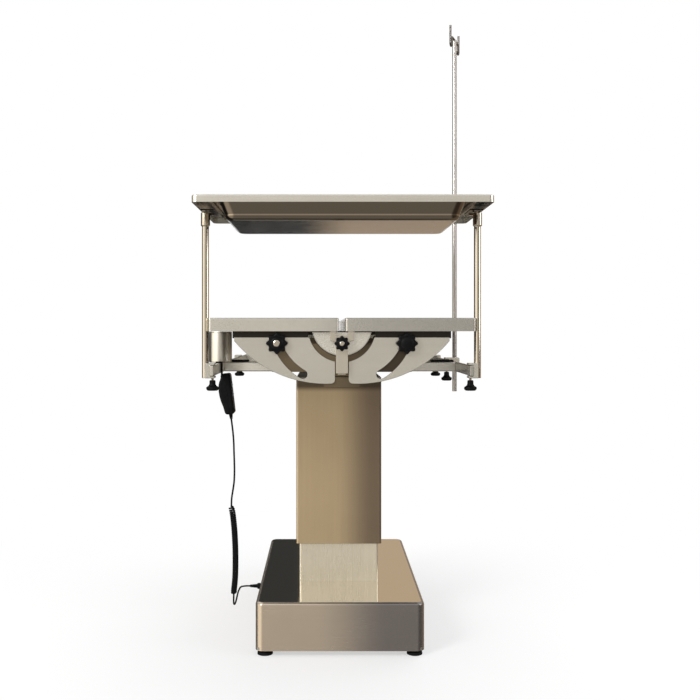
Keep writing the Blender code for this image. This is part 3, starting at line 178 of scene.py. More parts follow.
class Value:
    """A node socket that can be used in sums like a number."""

    def __init__(self, nodes, socket):
        self.nodes = nodes
        self.socket = socket

    def other(self, name):
        """Another output of the same node."""
        return Value(self.nodes, self.socket.node.outputs[name])

    def limit(self):
        """The value kept between 0 and 1."""
        return self.nodes.node("ShaderNodeClamp", {"Value": self})

    def _sum(self, operation, first, second):
        return self.nodes.node("ShaderNodeMath", {0: first, 1: second}, operation=operation)

    def __add__(self, other):
        return self._sum("ADD", self, other)

    def __sub__(self, other):
        return self._sum("SUBTRACT", self, other)

    def __rsub__(self, other):
        return self._sum("SUBTRACT", other, self)

    def __mul__(self, other):
        return self._sum("MULTIPLY", self, other)

    __radd__ = __add__
    __rmul__ = __mul__


class Nodes:
    """One node tree under construction."""

    def __init__(self, tree):
        self.tree = tree
        tree.nodes.clear()

    def node(self, kind, inputs=None, output=0, **settings):
        """Add a node: its settings first, then the values or links of its sockets."""
        node = self.tree.nodes.new(kind)
        for key, value in settings.items():
            setattr(node, key, value)
        for key, value in (inputs or {}).items():
            if isinstance(value, Value):
                self.tree.links.new(value.socket, node.inputs[key])
            else:
                node.inputs[key].default_value = value
        return Value(self, node.outputs[output]) if node.outputs else None


class Surface(Nodes):
    """The nodes of one material or world."""

    def __init__(self, holder):
        holder.use_nodes = True
        self.holder = holder
        super().__init__(holder.node_tree)

    def coordinates(self, kind="Object"):
        return self.node("ShaderNodeTexCoord", output=kind)

    def along(self, axis, kind="Object"):
        """Place along one axis."""
        return self.node("ShaderNodeSeparateXYZ", {"Vector": self.coordinates(kind)}, axis)

    def noise(self, scale, detail=2.0, roughness=0.5):
        """Noise from 0 to 1, its scale given in features a metre, for all axes or for each."""
        scales = (scale,) * 3 if isinstance(scale, int) else scale
        place = self.node("ShaderNodeMapping", {"Vector": self.coordinates(), "Scale": scales})
        inputs = {"Vector": place, "Scale": 1.0, "Detail": detail, "Roughness": roughness}
        return self.node("ShaderNodeTexNoise", inputs)

    def fade(self, value, low, high):
        """A smooth rise from 0 to 1 between two levels."""
        inputs = {"Value": value, "From Min": low, "From Max": high}
        return self.node("ShaderNodeMapRange", inputs, interpolation_type="SMOOTHSTEP")

    def blend(self, share, first, second, way="MIX"):
        """Mix two colours by a share."""
        inputs = {0: share, 6: first, 7: second}
        return self.node("ShaderNodeMix", inputs, 2, data_type="RGBA", blend_type=way)

    def tilt(self):
        """How far the face looks up, from -1 to 1."""
        return self.node("ShaderNodeAttribute", output="Fac", attribute_name="tilt")

    def bump(self, height, strength, distance):
        inputs = {"Height": height, "Strength": strength, "Distance": distance}
        return self.node("ShaderNodeBump", inputs)

    def finish(self, tint, rough, metallic, normal, gloss=0.5):
        """Close a material's tree in one shader."""
        shader = self.node("ShaderNodeBsdfPrincipled", {
            "Base Color": tint, "Roughness": rough, "Metallic": metallic, "Normal": normal,
            "Specular IOR Level": gloss,
        })
        self.node("ShaderNodeOutputMaterial", {"Surface": shader})
        return self.holder


def shade(colour, share):
    """A colour made darker or lighter, as RGBA."""
    return (*(min(1.0, c * share) for c in colour[:3]), 1.0)


# Finishes

GRAIN = {"X": (0.01, 1, 1), "Y": (1, 0.01, 1), "Z": (1, 1, 0.01)}
BROAD_GRAIN = 0.12
STREAK_RELIEF = (0.10, 0.0003)
WORN_FROM = 0.62
SHEET_METALLIC = 0.8
MIRROR_ROUGHNESS = 0.06
MIRROR_TILT = (0.985, 0.999)
# Painted shade: the tilts over which faces that look down are darkened
UNDER_SHADE_TILT = (0.03, 0.25)
# Painted shadow: how far the sleeve darkens at its head
HEAD_SHADOW = 0.85
SOFT_GLOSS = 0.07
BLACK = (0.005, 0.005, 0.0054)
NYLON = (0.78, 0.77, 0.72)
GREY = (0.34, 0.35, 0.36)
RAW = (0.42, 0.41, 0.39)
# Painted light and shade across a sheet: where the tone changes from left to right, and the tone it is multiplied
# by on the right
PANEL_SIDE_SHADE = ((-0.15, 0.15), (0.74, 0.74, 0.76, 1))
COLUMN_SIDE_SHADE = ((-0.02, 0.09), (0.40, 0.39, 0.43, 1))
BASE_SIDE_SHADE = ((-0.08, 0.12), (0.38, 0.41, 0.49, 1))
# Heights between which the sleeve darkens towards its head: painted shadow of the top above it
COLUMN_HEAD_SHADOW = (SLEEVE_HIGH.z - 0.033, SLEEVE_HIGH.z - 0.015)
# The looks of each material slot; a frame node with no finer piece takes the first
SLOT_LOOKS = {
    "brushed_sheet": (
        "plate_steel", "panel_steel", "cross_steel", "column_steel", "base_steel", "quadrant_steel",
        "post_steel", "gutter_steel", "dark_steel", "lock_steel", "rim_steel", "cup_steel",
    ),
    "polished_steel": ("bright_steel", "inner_steel", "basin_steel", "pole_steel", "hook_steel"),
    "raw_steel": ("raw_steel",),
    "black_plastic": ("black_plastic",),
    "grey_plastic": ("grey_plastic",),
    "black_rubber": ("black_rubber",),
    "white_nylon": ("nylon",),
    "grey_paint": ("grey_paint",),
}
SLOTS = {look: slot for slot, looks in SLOT_LOOKS.items() for look in looks}
LOOKS = {}


def brushed_steel(name, colour, along, roughness=0.30, under=0.75, mirror=None, drift=None, head=None):
    """Stainless sheet brushed along one axis, with smears and handling marks, and painted shade on the faces that
    look down; where asked, also painted shade from left to right and below its head.
    """
    surface = Surface(bpy.data.materials.new(name))
    lines = bpy.context.scene.table_steel.grain
    streaks = surface.noise([lines * s for s in GRAIN[along]], 3.0, 0.65)
    broad = surface.noise([lines * BROAD_GRAIN * s for s in GRAIN[along]])
    smears = surface.noise(5, 3.0)
    worn = ((surface.noise(60, 4.0, 0.7) - WORN_FROM) * 4.0).limit()
    mottle = (streaks * 0.35 + broad * 0.25 + smears * 0.4).limit()
    tint = surface.blend(mottle, shade(colour, 0.80), shade(colour, 1.16))
    tint = surface.blend(worn * 0.18, tint, shade(colour, 0.72))
    # Painted light and shade: the tone changes from left to right across the sheet
    if drift:
        across, shaded_tone = drift
        tint = surface.blend(surface.fade(surface.along("X"), *across), tint, shaded_tone, "MULTIPLY")
    # Painted shadow: darker towards the head, where the top above shades it
    if head:
        head_shadow = surface.fade(surface.along("Z"), *head)
        tint = surface.blend(head_shadow * HEAD_SHADOW, tint, shade(colour, 0.1))
    tilt = surface.tilt()
    # Painted shade: faces that look down are darkened
    below = surface.fade(0 - tilt, *UNDER_SHADE_TILT)
    tint = surface.blend(below * under, tint, shade(colour, 0.2))
    rough = streaks * 0.16 + smears * 0.12 + worn * 0.08 + (roughness - 0.14)
    metallic = SHEET_METALLIC
    if mirror:
        top = surface.fade(tilt, *MIRROR_TILT)
        tint = surface.blend(top, tint, shade(mirror, 1))
        rough = rough + top * (MIRROR_ROUGHNESS - rough)
        metallic = top * (1 - SHEET_METALLIC) + SHEET_METALLIC
    return surface.finish(tint, rough, metallic, surface.bump(streaks, *STREAK_RELIEF))


def polished_steel(name, colour, roughness=0.10, under=0.4, wave=0.06):
    """Bright bar or sheet with soft smudges, a few fine scratches and a slight ripple, and painted shade on the
    faces that look down.
    """
    surface = Surface(bpy.data.materials.new(name))
    smudges = surface.noise((14, 14, 9), 4.0, 0.6)
    hairlines = surface.noise((900, 900, 14))
    ripple = surface.noise((7, 7, 5), 1.0)
    tint = surface.blend(smudges, shade(colour, 0.86), shade(colour, 1.10))
    # Painted shade: faces that look down are darkened
    below = surface.fade(0 - surface.tilt(), *UNDER_SHADE_TILT)
    tint = surface.blend(below * under, tint, shade(colour, 0.25))
    rough = smudges * 0.10 + hairlines * 0.06 + (roughness - 0.06)
    return surface.finish(tint, rough, 1.0, surface.bump(hairlines * 0.1 + ripple, wave, 0.0015))


def coated(name, colour, cloud, tones, dull, grain, relief, metallic=0.0, gloss=SOFT_GLOSS):
    """A plain finish: a cloudy tint and dullness over a fine grain."""
    surface = Surface(bpy.data.materials.new(name))
    clouds = surface.noise(*cloud)
    tint = surface.blend(clouds, shade(colour, tones[0]), shade(colour, tones[1]))
    bump = surface.bump(surface.noise(*grain), *relief)
    return surface.finish(tint, clouds * dull[0] + dull[1], metallic, bump, gloss)


def make_looks(steel):
    """Every finish on the table, by name."""
    sheets = {
        "panel_steel": dict(colour=steel.light, along="Y", drift=PANEL_SIDE_SHADE),
        "cross_steel": dict(colour=steel.cross, along="X", drift=PANEL_SIDE_SHADE),
        "plate_steel": dict(colour=steel.light, along="Z", roughness=0.26),
        "column_steel": dict(
            colour=steel.warm, along="Z", roughness=0.34, drift=COLUMN_SIDE_SHADE, head=COLUMN_HEAD_SHADOW,
        ),
        "base_steel": dict(
            colour=steel.base, along="X", roughness=0.24, mirror=steel.mirror, drift=BASE_SIDE_SHADE,
        ),
        "inner_steel": dict(colour=steel.inner, along="Z"),
        "quadrant_steel": dict(colour=steel.light, along="X", roughness=0.22),
        "post_steel": dict(colour=steel.bright, along="Z", roughness=0.20),
        "gutter_steel": dict(colour=steel.gutter, along="Y", roughness=0.26),
        # Painted shade: stiffeners and gussets near black, for the shade below the top and the tray
        "dark_steel": dict(colour=steel.dark, along="X", roughness=0.34),
        # Painted shade: lock plates and spine caps in a dark brown, like the column in the shadow of the top
        "lock_steel": dict(
            colour=shade(steel.warm, 0.3), along="X", roughness=0.34, drift=COLUMN_SIDE_SHADE,
        ),
        "rim_steel": dict(colour=shade(steel.cross, 0.8), along="X", roughness=0.22, under=0.95),
    }
    bars = {
        "basin_steel": dict(colour=steel.base, under=0.95, wave=0.20),
        "bright_steel": dict(colour=steel.bright),
        "cup_steel": dict(colour=steel.gutter, roughness=0.30),
        "pole_steel": dict(colour=steel.pole, roughness=0.32),
        "hook_steel": dict(colour=shade(steel.pole, 0.35), roughness=0.24),
    }
    scale = (45, 5.0, 0.65)
    moulded = dict(cloud=(90, 3.0), tones=(0.7, 1.6), grain=(2600,), relief=(0.25, 0.0002))
    coats = {
        "raw_steel": dict(
            colour=RAW, cloud=scale, tones=(0.55, 1.1), dull=(0.3, 0.35), grain=scale,
            relief=(0.2, 0.0004), metallic=1.0, gloss=0.5,
        ),
        "black_plastic": dict(colour=BLACK, dull=(0.22, 0.30), **moulded),
        "grey_plastic": dict(colour=GREY, dull=(0.22, 0.35), **moulded),
        "nylon": dict(colour=NYLON, dull=(0.22, 0.40), **moulded),
        "black_rubber": dict(
            colour=BLACK, cloud=(120, 4.0, 0.6), tones=(0.7, 2.2), dull=(0.25, 0.5), grain=(3000,),
            relief=(0.2, 0.0002),
        ),
        "grey_paint": dict(
            colour=GREY, cloud=(12, 3.0), tones=(0.9, 1.08), dull=(0.15, 0.35), grain=(700,),
            relief=(0.12, 0.0003), gloss=0.5,
        ),
    }
    for finish, rows in ((brushed_steel, sheets), (polished_steel, bars), (coated, coats)):
        for name, row in rows.items():
            LOOKS[name] = finish(name, **row)


class TABLE_OT_finishes(bpy.types.Operator):
    """Make the finishes and put one on every frame node"""

    bl_idname = "surgery_table.finishes"
    bl_label = "Finishes"

    def execute(self, context):
        make_looks(context.scene.table_steel)
        for row in frame["record"]["subparts"]:
            node = NODES[row["node"]]
            node.data.materials.clear()
            node.data.materials.append(LOOKS[SLOT_LOOKS[row["material_slot"]][0]])
        return {"FINISHED"}


# Objects and meshes

WELD = 0.000005
CURVE_STEPS = 40
EASE_STEPS = 4
EASE_REACH = 0.45
SHEET_SHARP = 30


def new_object(name, data):
    obj = bpy.data.objects.new(name, data)
    bpy.context.scene.collection.objects.link(obj)
    return obj


def evaluated_mesh(obj):
    """The object's mesh with its modifiers in it; the object is removed."""
    bpy.context.view_layer.update()
    graph = bpy.context.evaluated_depsgraph_get()
    mesh = bpy.data.meshes.new_from_object(obj.evaluated_get(graph))
    bpy.data.objects.remove(obj)
    return mesh


def piece(name, mesh, body, look, nodes=(), sharp=40):
    """Finish a mesh as a piece that rides on a body and stands for frame nodes."""
    mesh.transform(Matrix.Translation(COLUMN))
    mesh.materials.clear()
    mesh.materials.append(LOOKS[look])
    mesh.shade_smooth()
    mesh.set_sharp_from_angle(angle=math.radians(sharp))
    rough = new_object(name, mesh)
    rough.modifiers.new("Even", "WEIGHTED_NORMAL").keep_sharp = True
    obj = new_object(name, evaluated_mesh(rough))
    obj.data.name = name
    note_tilt(obj.data)
    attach(obj, body)
    if nodes:
        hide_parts(*nodes)
    return obj


def note_tilt(mesh):
    """Note on every face how far it looks up, from -1 to 1, for the finishes."""
    normals = [0.0] * (3 * len(mesh.polygons))
    mesh.polygons.foreach_get("normal", normals)
    mesh.attributes.new("tilt", "FLOAT", "FACE").data.foreach_set("value", normals[2::3])


def mesh_of(shape):
    mesh = bpy.data.meshes.new("mesh")
    shape.to_mesh(mesh)
    shape.free()
    return mesh


def outward(shape):
    """A closed shape as a mesh, its faces turned outwards."""
    bmesh.ops.recalc_face_normals(shape, faces=shape.faces)
    return mesh_of(shape)


def welded(mesh):
    shape = bmesh.new()
    shape.from_mesh(mesh)
    bmesh.ops.remove_doubles(shape, verts=shape.verts, dist=WELD)
    return outward(shape)


def walled(shape, top, sheet):
    """An open sheet, turned so that its top face looks up, with its thickness below."""
    bmesh.ops.recalc_face_normals(shape, faces=shape.faces)
    if top.normal.z < 0:
        bmesh.ops.reverse_faces(shape, faces=shape.faces)
    obj = new_object("walled", mesh_of(shape))
    wall = obj.modifiers.new("Wall", "SOLIDIFY")
    wall.thickness = sheet
    wall.offset = -1
    wall.use_even_offset = True
    return evaluated_mesh(obj)


def joined(*meshes):
    """Several meshes as one."""
    shape = bmesh.new()
    for mesh in meshes:
        shape.from_mesh(mesh)
    return mesh_of(shape)


def moved(mesh, matrix):
    mesh.transform(matrix)
    if matrix.to_3x3().determinant() < 0:
        mesh.flip_normals()
    return mesh


def mirrored(mesh, side):
    return moved(mesh, Matrix.Diagonal((side, 1, 1, 1)))


def carved(mesh, cutter):
    obj = new_object("carved", mesh)
    tool = new_object("tool", cutter)
    obj.modifiers.new("Cut", "BOOLEAN").object = tool
    result = evaluated_mesh(obj)
    bpy.data.objects.remove(tool)
    return result


# Outlines and lines


def levels(way, near, far):
    """Two distances along one way, as low and high."""
    return sorted((way * near, way * far))


def both_sides(right):
    """An outline's right half with its mirror image."""
    return [*right, *((-x, z) for x, z in reversed(right))]


def arc(centre, radius, start, end, steps):
    angles = [start + (end - start) * i / steps for i in range(steps + 1)]
    return [(centre[0] + radius * math.cos(a), centre[1] + radius * math.sin(a)) for a in angles]


def circle(centre, radius, sides=32, start=0.0):
    return arc(centre, radius, start, start + 2 * math.pi, sides)[:-1]


def hexagon(radius):
    return circle((0, 0), radius, 6, math.pi / 6)


def eased(points, radius, closed=False):
    """A line of points with its corners rounded off."""
    points = [Vector(p) for p in points]
    count = len(points)
    result = []
    for i, corner in enumerate(points):
        if not closed and i in (0, count - 1):
            result.append(tuple(corner))
            continue
        before = points[i - 1] - corner
        after = points[(i + 1) % count] - corner
        first = corner + before.normalized() * min(radius, before.length * EASE_REACH)
        last = corner + after.normalized() * min(radius, after.length * EASE_REACH)
        for step in range(EASE_STEPS + 1):
            t = step / EASE_STEPS
            result.append(tuple((1 - t) ** 2 * first + 2 * t * (1 - t) * corner + t * t * last))
    return result


def rounded_rectangle(half_u, half_v, radius, centre=(0, 0), steps=8):
    points = []
    for quarter, (u, v) in enumerate(((1, 1), (-1, 1), (-1, -1), (1, -1))):
        middle = (centre[0] + u * (half_u - radius), centre[1] + v * (half_v - radius))
        points += arc(middle, radius, quarter * QUARTER, (quarter + 1) * QUARTER, steps)
    return points


def thread(radius, top, bottom, pitch, depth):
    """Profile of a screw thread, as ridges from top to bottom."""
    count = max(1, round((top - bottom) / pitch))
    points = []
    for i in range(count):
        level = top - (top - bottom) * i / count
        points += [(radius, level), (radius - depth, level - (top - bottom) / count / 2)]
    return points + [(radius, bottom)]


def ridges(rows, width, fall, depth):
    """Profile of grip ridges, each from a radius and a level down."""
    points = []
    for radius, level in rows:
        points += [(radius, level), (radius, level - width), (radius - depth, level - fall)]
    return points


def smooth_route(points, spacing, first, last):
    """Places at even steps along a smooth curve through given points."""
    points = [Vector(p) for p in points]
    start = first.normalized() * (points[1] - points[0]).length
    end = last.normalized() * (points[-1] - points[-2]).length
    slopes = [start] + [(b - a) / 2 for a, b in zip(points, points[2:])] + [end]
    dense = [points[0]]
    for i in range(len(points) - 1):
        for j in range(1, CURVE_STEPS + 1):
            t = j / CURVE_STEPS
            dense.append(
                (2 * t**3 - 3 * t**2 + 1) * points[i]
                + (t**3 - 2 * t**2 + t) * slopes[i]
                + (3 * t**2 - 2 * t**3) * points[i + 1]
                + (t**3 - t**2) * slopes[i + 1]
            )
    return even_steps(dense, spacing)


def even_steps(dense, spacing):
    """Places at even steps along a line of close points."""
    travelled = [0.0]
    for a, b in zip(dense, dense[1:]):
        travelled.append(travelled[-1] + (b - a).length)
    count = max(2, round(travelled[-1] / spacing))
    result = []
    index = 0
    for step in range(count + 1):
        target = travelled[-1] * step / count
        while index < len(dense) - 2 and travelled[index + 1] < target:
            index += 1
        gap = travelled[index + 1] - travelled[index]
        share = (target - travelled[index]) / gap if gap else 0
        result.append(dense[index].lerp(dense[index + 1], share))
    return result


def route_length(points):
    return sum((b - a).length for a, b in zip(points, points[1:]))


# Solid shapes

FACING = {
    "X": Matrix(((0, 0, 1, 0), (1, 0, 0, 0), (0, 1, 0, 0), (0, 0, 0, 1))),
    "Y": Matrix(((1, 0, 0, 0), (0, 0, 1, 0), (0, 1, 0, 0), (0, 0, 0, 1))),
    "Z": Matrix.Identity(4),
}


def curve_mesh(lines, closed, **settings):
    """The mesh of a curve object through lines of points."""
    curve = bpy.data.curves.new("curve", "CURVE")
    for key, value in settings.items():
        setattr(curve, key, value)
    for line in lines:
        spline = curve.splines.new("POLY")
        spline.points.add(len(line) - 1)
        for point, place in zip(spline.points, line):
            point.co = (*place, 1)
        spline.use_cyclic_u = closed
    return evaluated_mesh(new_object("curve", curve))


def tube(points, radius, resolution=4):
    """A round tube along points, with closed ends."""
    return welded(curve_mesh(
        [points], False, dimensions="3D", bevel_depth=radius, bevel_resolution=resolution,
        use_fill_caps=True,
    ))


def plate(outlines, facing, low, high, edge=0.0):
    """A flat plate between two levels, with holes and with rounded edges."""
    mesh = curve_mesh(
        [[(u, v, 0) for u, v in outline] for outline in outlines], True, dimensions="2D",
        fill_mode="BOTH", extrude=(high - low) / 2 - edge, bevel_depth=edge, bevel_resolution=2,
        offset=-edge,
    )
    mesh.transform(FACING[facing] @ Matrix.Translation((0, 0, (low + high) / 2)))
    return welded(mesh)


def box_shape(low, high):
    shape = bmesh.new()
    bmesh.ops.create_cube(shape, size=1)
    bmesh.ops.scale(shape, vec=high - low, verts=shape.verts)
    bmesh.ops.translate(shape, vec=(low + high) / 2, verts=shape.verts)
    return shape


def round_off(shape, edges, radius, segments):
    bmesh.ops.bevel(shape, geom=edges, offset=radius, segments=segments, profile=0.5, affect="EDGES")


def rounded_box(low, high, edge):
    shape = box_shape(Vector(low), Vector(high))
    if edge:
        round_off(shape, shape.edges[:], edge, 3)
    return mesh_of(shape)


def pan(room, corner, edge, sheet):
    """A folded sheet box, open below, with round corners and a round top edge."""
    shape = box_shape(room.low, room.high)
    floor = min(shape.faces, key=lambda f: f.calc_center_median().z)
    bmesh.ops.delete(shape, geom=[floor], context="FACES_ONLY")
    upright = [e for e in shape.edges if abs(e.verts[0].co.z - e.verts[1].co.z) > edge]
    round_off(shape, upright, corner, 6)
    rim = [e for e in shape.edges if min(v.co.z for v in e.verts) > room.high.z - edge / 4]
    round_off(shape, rim, edge, 5)
    return walled(shape, max(shape.faces, key=lambda f: f.calc_area()), sheet)


def turned(profile, place=(0, 0, 0), axis=(0, 0, 1), sides=40):
    """A profile of radius and height, turned about an axis."""
    shape = bmesh.new()
    verts = [shape.verts.new((radius, 0, height)) for radius, height in profile]
    edges = [shape.edges.new(pair) for pair in zip(verts, verts[1:])]
    bmesh.ops.spin(
        shape, geom=verts + edges, cent=(0, 0, 0), axis=(0, 0, 1), angle=2 * math.pi, steps=sides,
        use_merge=True, use_duplicate=False,
    )
    bmesh.ops.remove_doubles(shape, verts=shape.verts, dist=WELD * 0.4)
    turn = Vector((0, 0, 1)).rotation_difference(Vector(axis)).to_matrix().to_4x4()
    return moved(outward(shape), Matrix.Translation(place) @ turn)


def bar(start, end, radius, edge, sides=40):
    """A round bar between two places, with eased ends."""
    start = Vector(start)
    way = Vector(end) - start
    length = way.length
    profile = eased(((0, length), (radius, length), (radius, 0), (0, 0)), edge)
    return turned(profile, start, way, sides)


def loft(rows, middle, closed):
    """Rounded rectangles of half sizes, corner and level, skinned one to the next."""
    shape = bmesh.new()
    loops = []
    for half_x, half_y, corner, level in rows:
        outline = rounded_rectangle(half_x, half_y, corner, middle)
        loops.append([shape.verts.new((x, y, level)) for x, y in outline])
    for one, other in zip(loops, loops[1:] + loops[:1] if closed else loops[1:]):
        for i in range(len(one)):
            shape.faces.new((one[i - 1], one[i], other[i], other[i - 1]))
    return shape, loops


# Repeating pieces by Geometry Nodes

TREES = {}
# Rise and width of a screw head's chamfer, socket mouth and socket floor, as shares
HEAD_STEPS = ((0.18, 0.86), (0.0, "Socket"), (-0.75, 0.96))
RIB_SIDES = 8


def node_tree(name, inputs):
    """A new geometry tree with named inputs, and its group input as values by name."""
    group = bpy.data.node_groups.new(name, "GeometryNodeTree")
    for way in ("OUTPUT", "INPUT"):
        group.interface.new_socket("Geometry", in_out=way, socket_type="NodeSocketGeometry")
    for label, kind in inputs.items():
        group.interface.new_socket(label, in_out="INPUT", socket_type="NodeSocket" + kind)
    tree = Nodes(group)
    source = tree.node("NodeGroupInput")
    return tree, {label: source.other(label) for label in ("Geometry", *inputs)}


def close_tree(tree, geometry, material):
    """End a tree in Realize Instances and Set Material."""
    real = tree.node("GeometryNodeRealizeInstances", {"Geometry": geometry})
    dressed = tree.node("GeometryNodeSetMaterial", {"Geometry": real, "Material": material})
    tree.node("NodeGroupOutput", {"Geometry": dressed})
    return tree.tree


def screw_tree():
    """Screw heads with a chamfer and a socket, on points that carry a facing."""
    tree, inputs = node_tree("Screw Heads", {
        "Sides": "Int", "Radius": "Float", "Height": "Float", "Socket": "Float", "Material": "Material",
    })
    head = tree.node("GeometryNodeMeshCylinder", {
        "Vertices": inputs["Sides"], "Radius": inputs["Radius"], "Depth": inputs["Height"],
    })
    top = head.other("Top")
    for rise, share in HEAD_STEPS:
        raised = {"Mesh": head, "Selection": top, "Offset Scale": inputs["Height"] * rise}
        head = tree.node("GeometryNodeExtrudeMesh", raised)
        top = head.other("Top")
        scaled = {"Geometry": head, "Selection": top, "Scale": inputs.get(share, share)}
        head = tree.node("GeometryNodeScaleElements", scaled)
    facing = tree.node(
        "GeometryNodeInputNamedAttribute", {"Name": "facing"}, data_type="FLOAT_VECTOR",
    )
    turn = tree.node("FunctionNodeAlignRotationToVector", {"Vector": facing}, axis="Z")
    heads = tree.node("GeometryNodeInstanceOnPoints", {
        "Points": inputs["Geometry"], "Instance": head, "Rotation": turn,
    })
    return close_tree(tree, heads, inputs["Material"])


def rib_tree():
    """Upright grip ribs round the rim of a hand knob."""
    tree, inputs = node_tree("Grip Ribs", {
        "Count": "Int", "Rim": "Float", "Rib": "Float", "Height": "Float", "Material": "Material",
    })
    rim = tree.node("GeometryNodeMeshCircle", {"Vertices": inputs["Count"], "Radius": inputs["Rim"]})
    rib = tree.node("GeometryNodeMeshCylinder", {
        "Vertices": RIB_SIDES, "Radius": inputs["Rib"], "Depth": inputs["Height"],
    })
    ribs = tree.node("GeometryNodeInstanceOnPoints", {"Points": rim, "Instance": rib})
    return close_tree(tree, ribs, inputs["Material"])


def grown(tree, inputs, points=None):
    """The plain mesh that a geometry tree makes, on a mesh of points if it needs one."""
    obj = new_object("grown", points or bpy.data.meshes.new("points"))
    modifier = obj.modifiers.new("Grow", "NODES")
    modifier.node_group = tree
    for item in tree.interface.items_tree:
        if item.in_out == "INPUT" and item.name in inputs:
            modifier[item.identifier] = inputs[item.name]
    return evaluated_mesh(obj)


def screws(name, body, rows, size, sides=24):
    """Screw heads at places with facings; a size is radius, height and the socket's share."""
    points = bpy.data.meshes.new("points")
    points.from_pydata([place for place, facing in rows], [], [])
    attribute = points.attributes.new("facing", "FLOAT_VECTOR", "POINT")
    for value, (place, facing) in zip(attribute.data, rows):
        value.vector = facing
    inputs = dict(zip(("Radius", "Height", "Socket"), size))
    inputs.update(Sides=sides, Material=LOOKS["bright_steel"])
    piece(name, grown(TREES["screws"], inputs, points), body, "bright_steel")


class TABLE_OT_trees(bpy.types.Operator):
    """Build the geometry trees for what repeats"""

    bl_idname = "surgery_table.trees"
    bl_label = "Repeating Shapes"

    def execute(self, context):
        TREES["screws"] = screw_tree()
        TREES["ribs"] = rib_tree()
        return {"FINISHED"}


# Base and column

BASE_CORNER = 0.020
BASE_EDGE = 0.008
BASE_SHEET = 0.002
COLUMN_CORNER = 0.006
INNER_WALL = 0.004
SLEEVE_WALL = 0.003
FLANGE_EDGE = 0.001
CUT_EDGE = 0.0006
# A foot's pad as shares of its radius and height, then the pad, nut and washer as shares of the foot
FOOT_PROFILE = ((0, 1), (0.74, 1), (0.96, 0.72), (1, 0.30), (1, 0), (0, 0))
FOOT_EASE = 0.07
FOOT_PAD = 0.60
FOOT_NUT = 0.5
FOOT_WASHER = 0.62
WASHER_SHEET = 0.001
NUT_EDGE = 0.0005
# Easing of the smallest turned and cut pieces
FINE_EDGE = 0.0004


class TABLE_OT_base(bpy.types.Operator):
    """Make the base shell and its levelling feet"""

    bl_idname = "surgery_table.base"
    bl_label = "Base and Feet"

    def execute(self, context):
        room = Room("base_cover")
        bore = Room("inner_column").half
        shell = pan(room, BASE_CORNER, BASE_EDGE, BASE_SHEET)
        hole = rounded_rectangle(bore.x + FIT, bore.y + FIT, COLUMN_CORNER + FIT)
        shell = carved(shell, plate([hole], "Z", room.high.z - BASE_EDGE, room.high.z + BASE_EDGE))
        piece("base_shell", shell, "base", "base_steel", ["base_cover"], SHEET_SHARP)
        for (end, end_name), (side, side_name) in product(ENDS, SIDES):
            self.foot(f"foot_{end_name}_{side_name}")
        return {"FINISHED"}

    def foot(self, node):
        room = Room(node)
        radius = room.half.x
        pad_top = room.high.z * FOOT_PAD
        place = Matrix.Translation((room.centre.x, room.centre.y, 0))
        pad = turned(eased([(radius * r, pad_top * h) for r, h in FOOT_PROFILE], radius * FOOT_EASE))
        piece(f"{node}_pad", moved(pad, place), "base", "black_rubber", [node])
        seat = pad_top + WASHER_SHEET
        nut = plate([hexagon(radius * FOOT_NUT)], "Z", seat, room.high.z, NUT_EDGE)
        washer = bar((0, 0, pad_top), (0, 0, seat), radius * FOOT_WASHER, FINE_EDGE)
        piece(f"{node}_nut", moved(joined(nut, washer), place), "base", "bright_steel")


class TABLE_OT_column(bpy.types.Operator):
    """Make the fixed inner column and the sliding sleeve"""

    bl_idname = "surgery_table.column"
    bl_label = "Lifting Column"

    def execute(self, context):
        self.tube("inner_column", "base", "inner_steel", INNER_WALL)
        self.tube("outer_sleeve", "lift", "column_steel", SLEEVE_WALL)
        room = Room("column_top_plate")
        outline = rounded_rectangle(room.high.x, room.high.y, COLUMN_CORNER)
        flange = plate([outline], "Z", room.low.z, room.high.z, FLANGE_EDGE)
        piece("column_flange", flange, "lift", "raw_steel", ["column_top_plate"])
        return {"FINISHED"}

    def tube(self, node, body, look, wall):
        room = Room(node)
        half_x, half_y = room.high.xy
        outer = rounded_rectangle(half_x, half_y, COLUMN_CORNER)
        bore = rounded_rectangle(half_x - wall, half_y - wall, COLUMN_CORNER - wall / 2)
        walls = plate([outer, bore], "Z", room.low.z, room.high.z, CUT_EDGE)
        piece(f"{node}_tube", walls, body, look, [node], SHEET_SHARP)


# Mains inlet and cord gland

INLET_CORNER = 0.006
INLET_EDGE = 0.0008
SOCKET_RIGHT = ((0.013, -0.009), (0.013, 0.003), (0.007, 0.009))
SOCKET_EASE = 0.0015
SOCKET_BED = Vector((0.014, 0, 0.010))
SOCKET_FLOOR = Vector((0, 0.0015, 0))
BED_EDGE = 0.0003
PIN_PLACES = ((-0.007, -0.002), (0, 0.003), (0.007, -0.002))
PIN_SIZE = Vector((0.0020, 0.0038, 0.0060))
PIN_EDGE = 0.0004
INLET_SCREW = (0.0026, 0.0012, 0.5)
INLET_SCREW_X = 0.0195
INLET_SCREW_SINK = 0.0004
GLAND_TIP = 0.0035
GLAND_ROOT = 0.0052
GLAND_RIBS = 6
GLAND_RIB = (0.0016, 0.0019, 0.0009)
# First rib and run of the ribs, as shares of the gland's length
GLAND_FIRST = 0.92
GLAND_RUN = 0.56


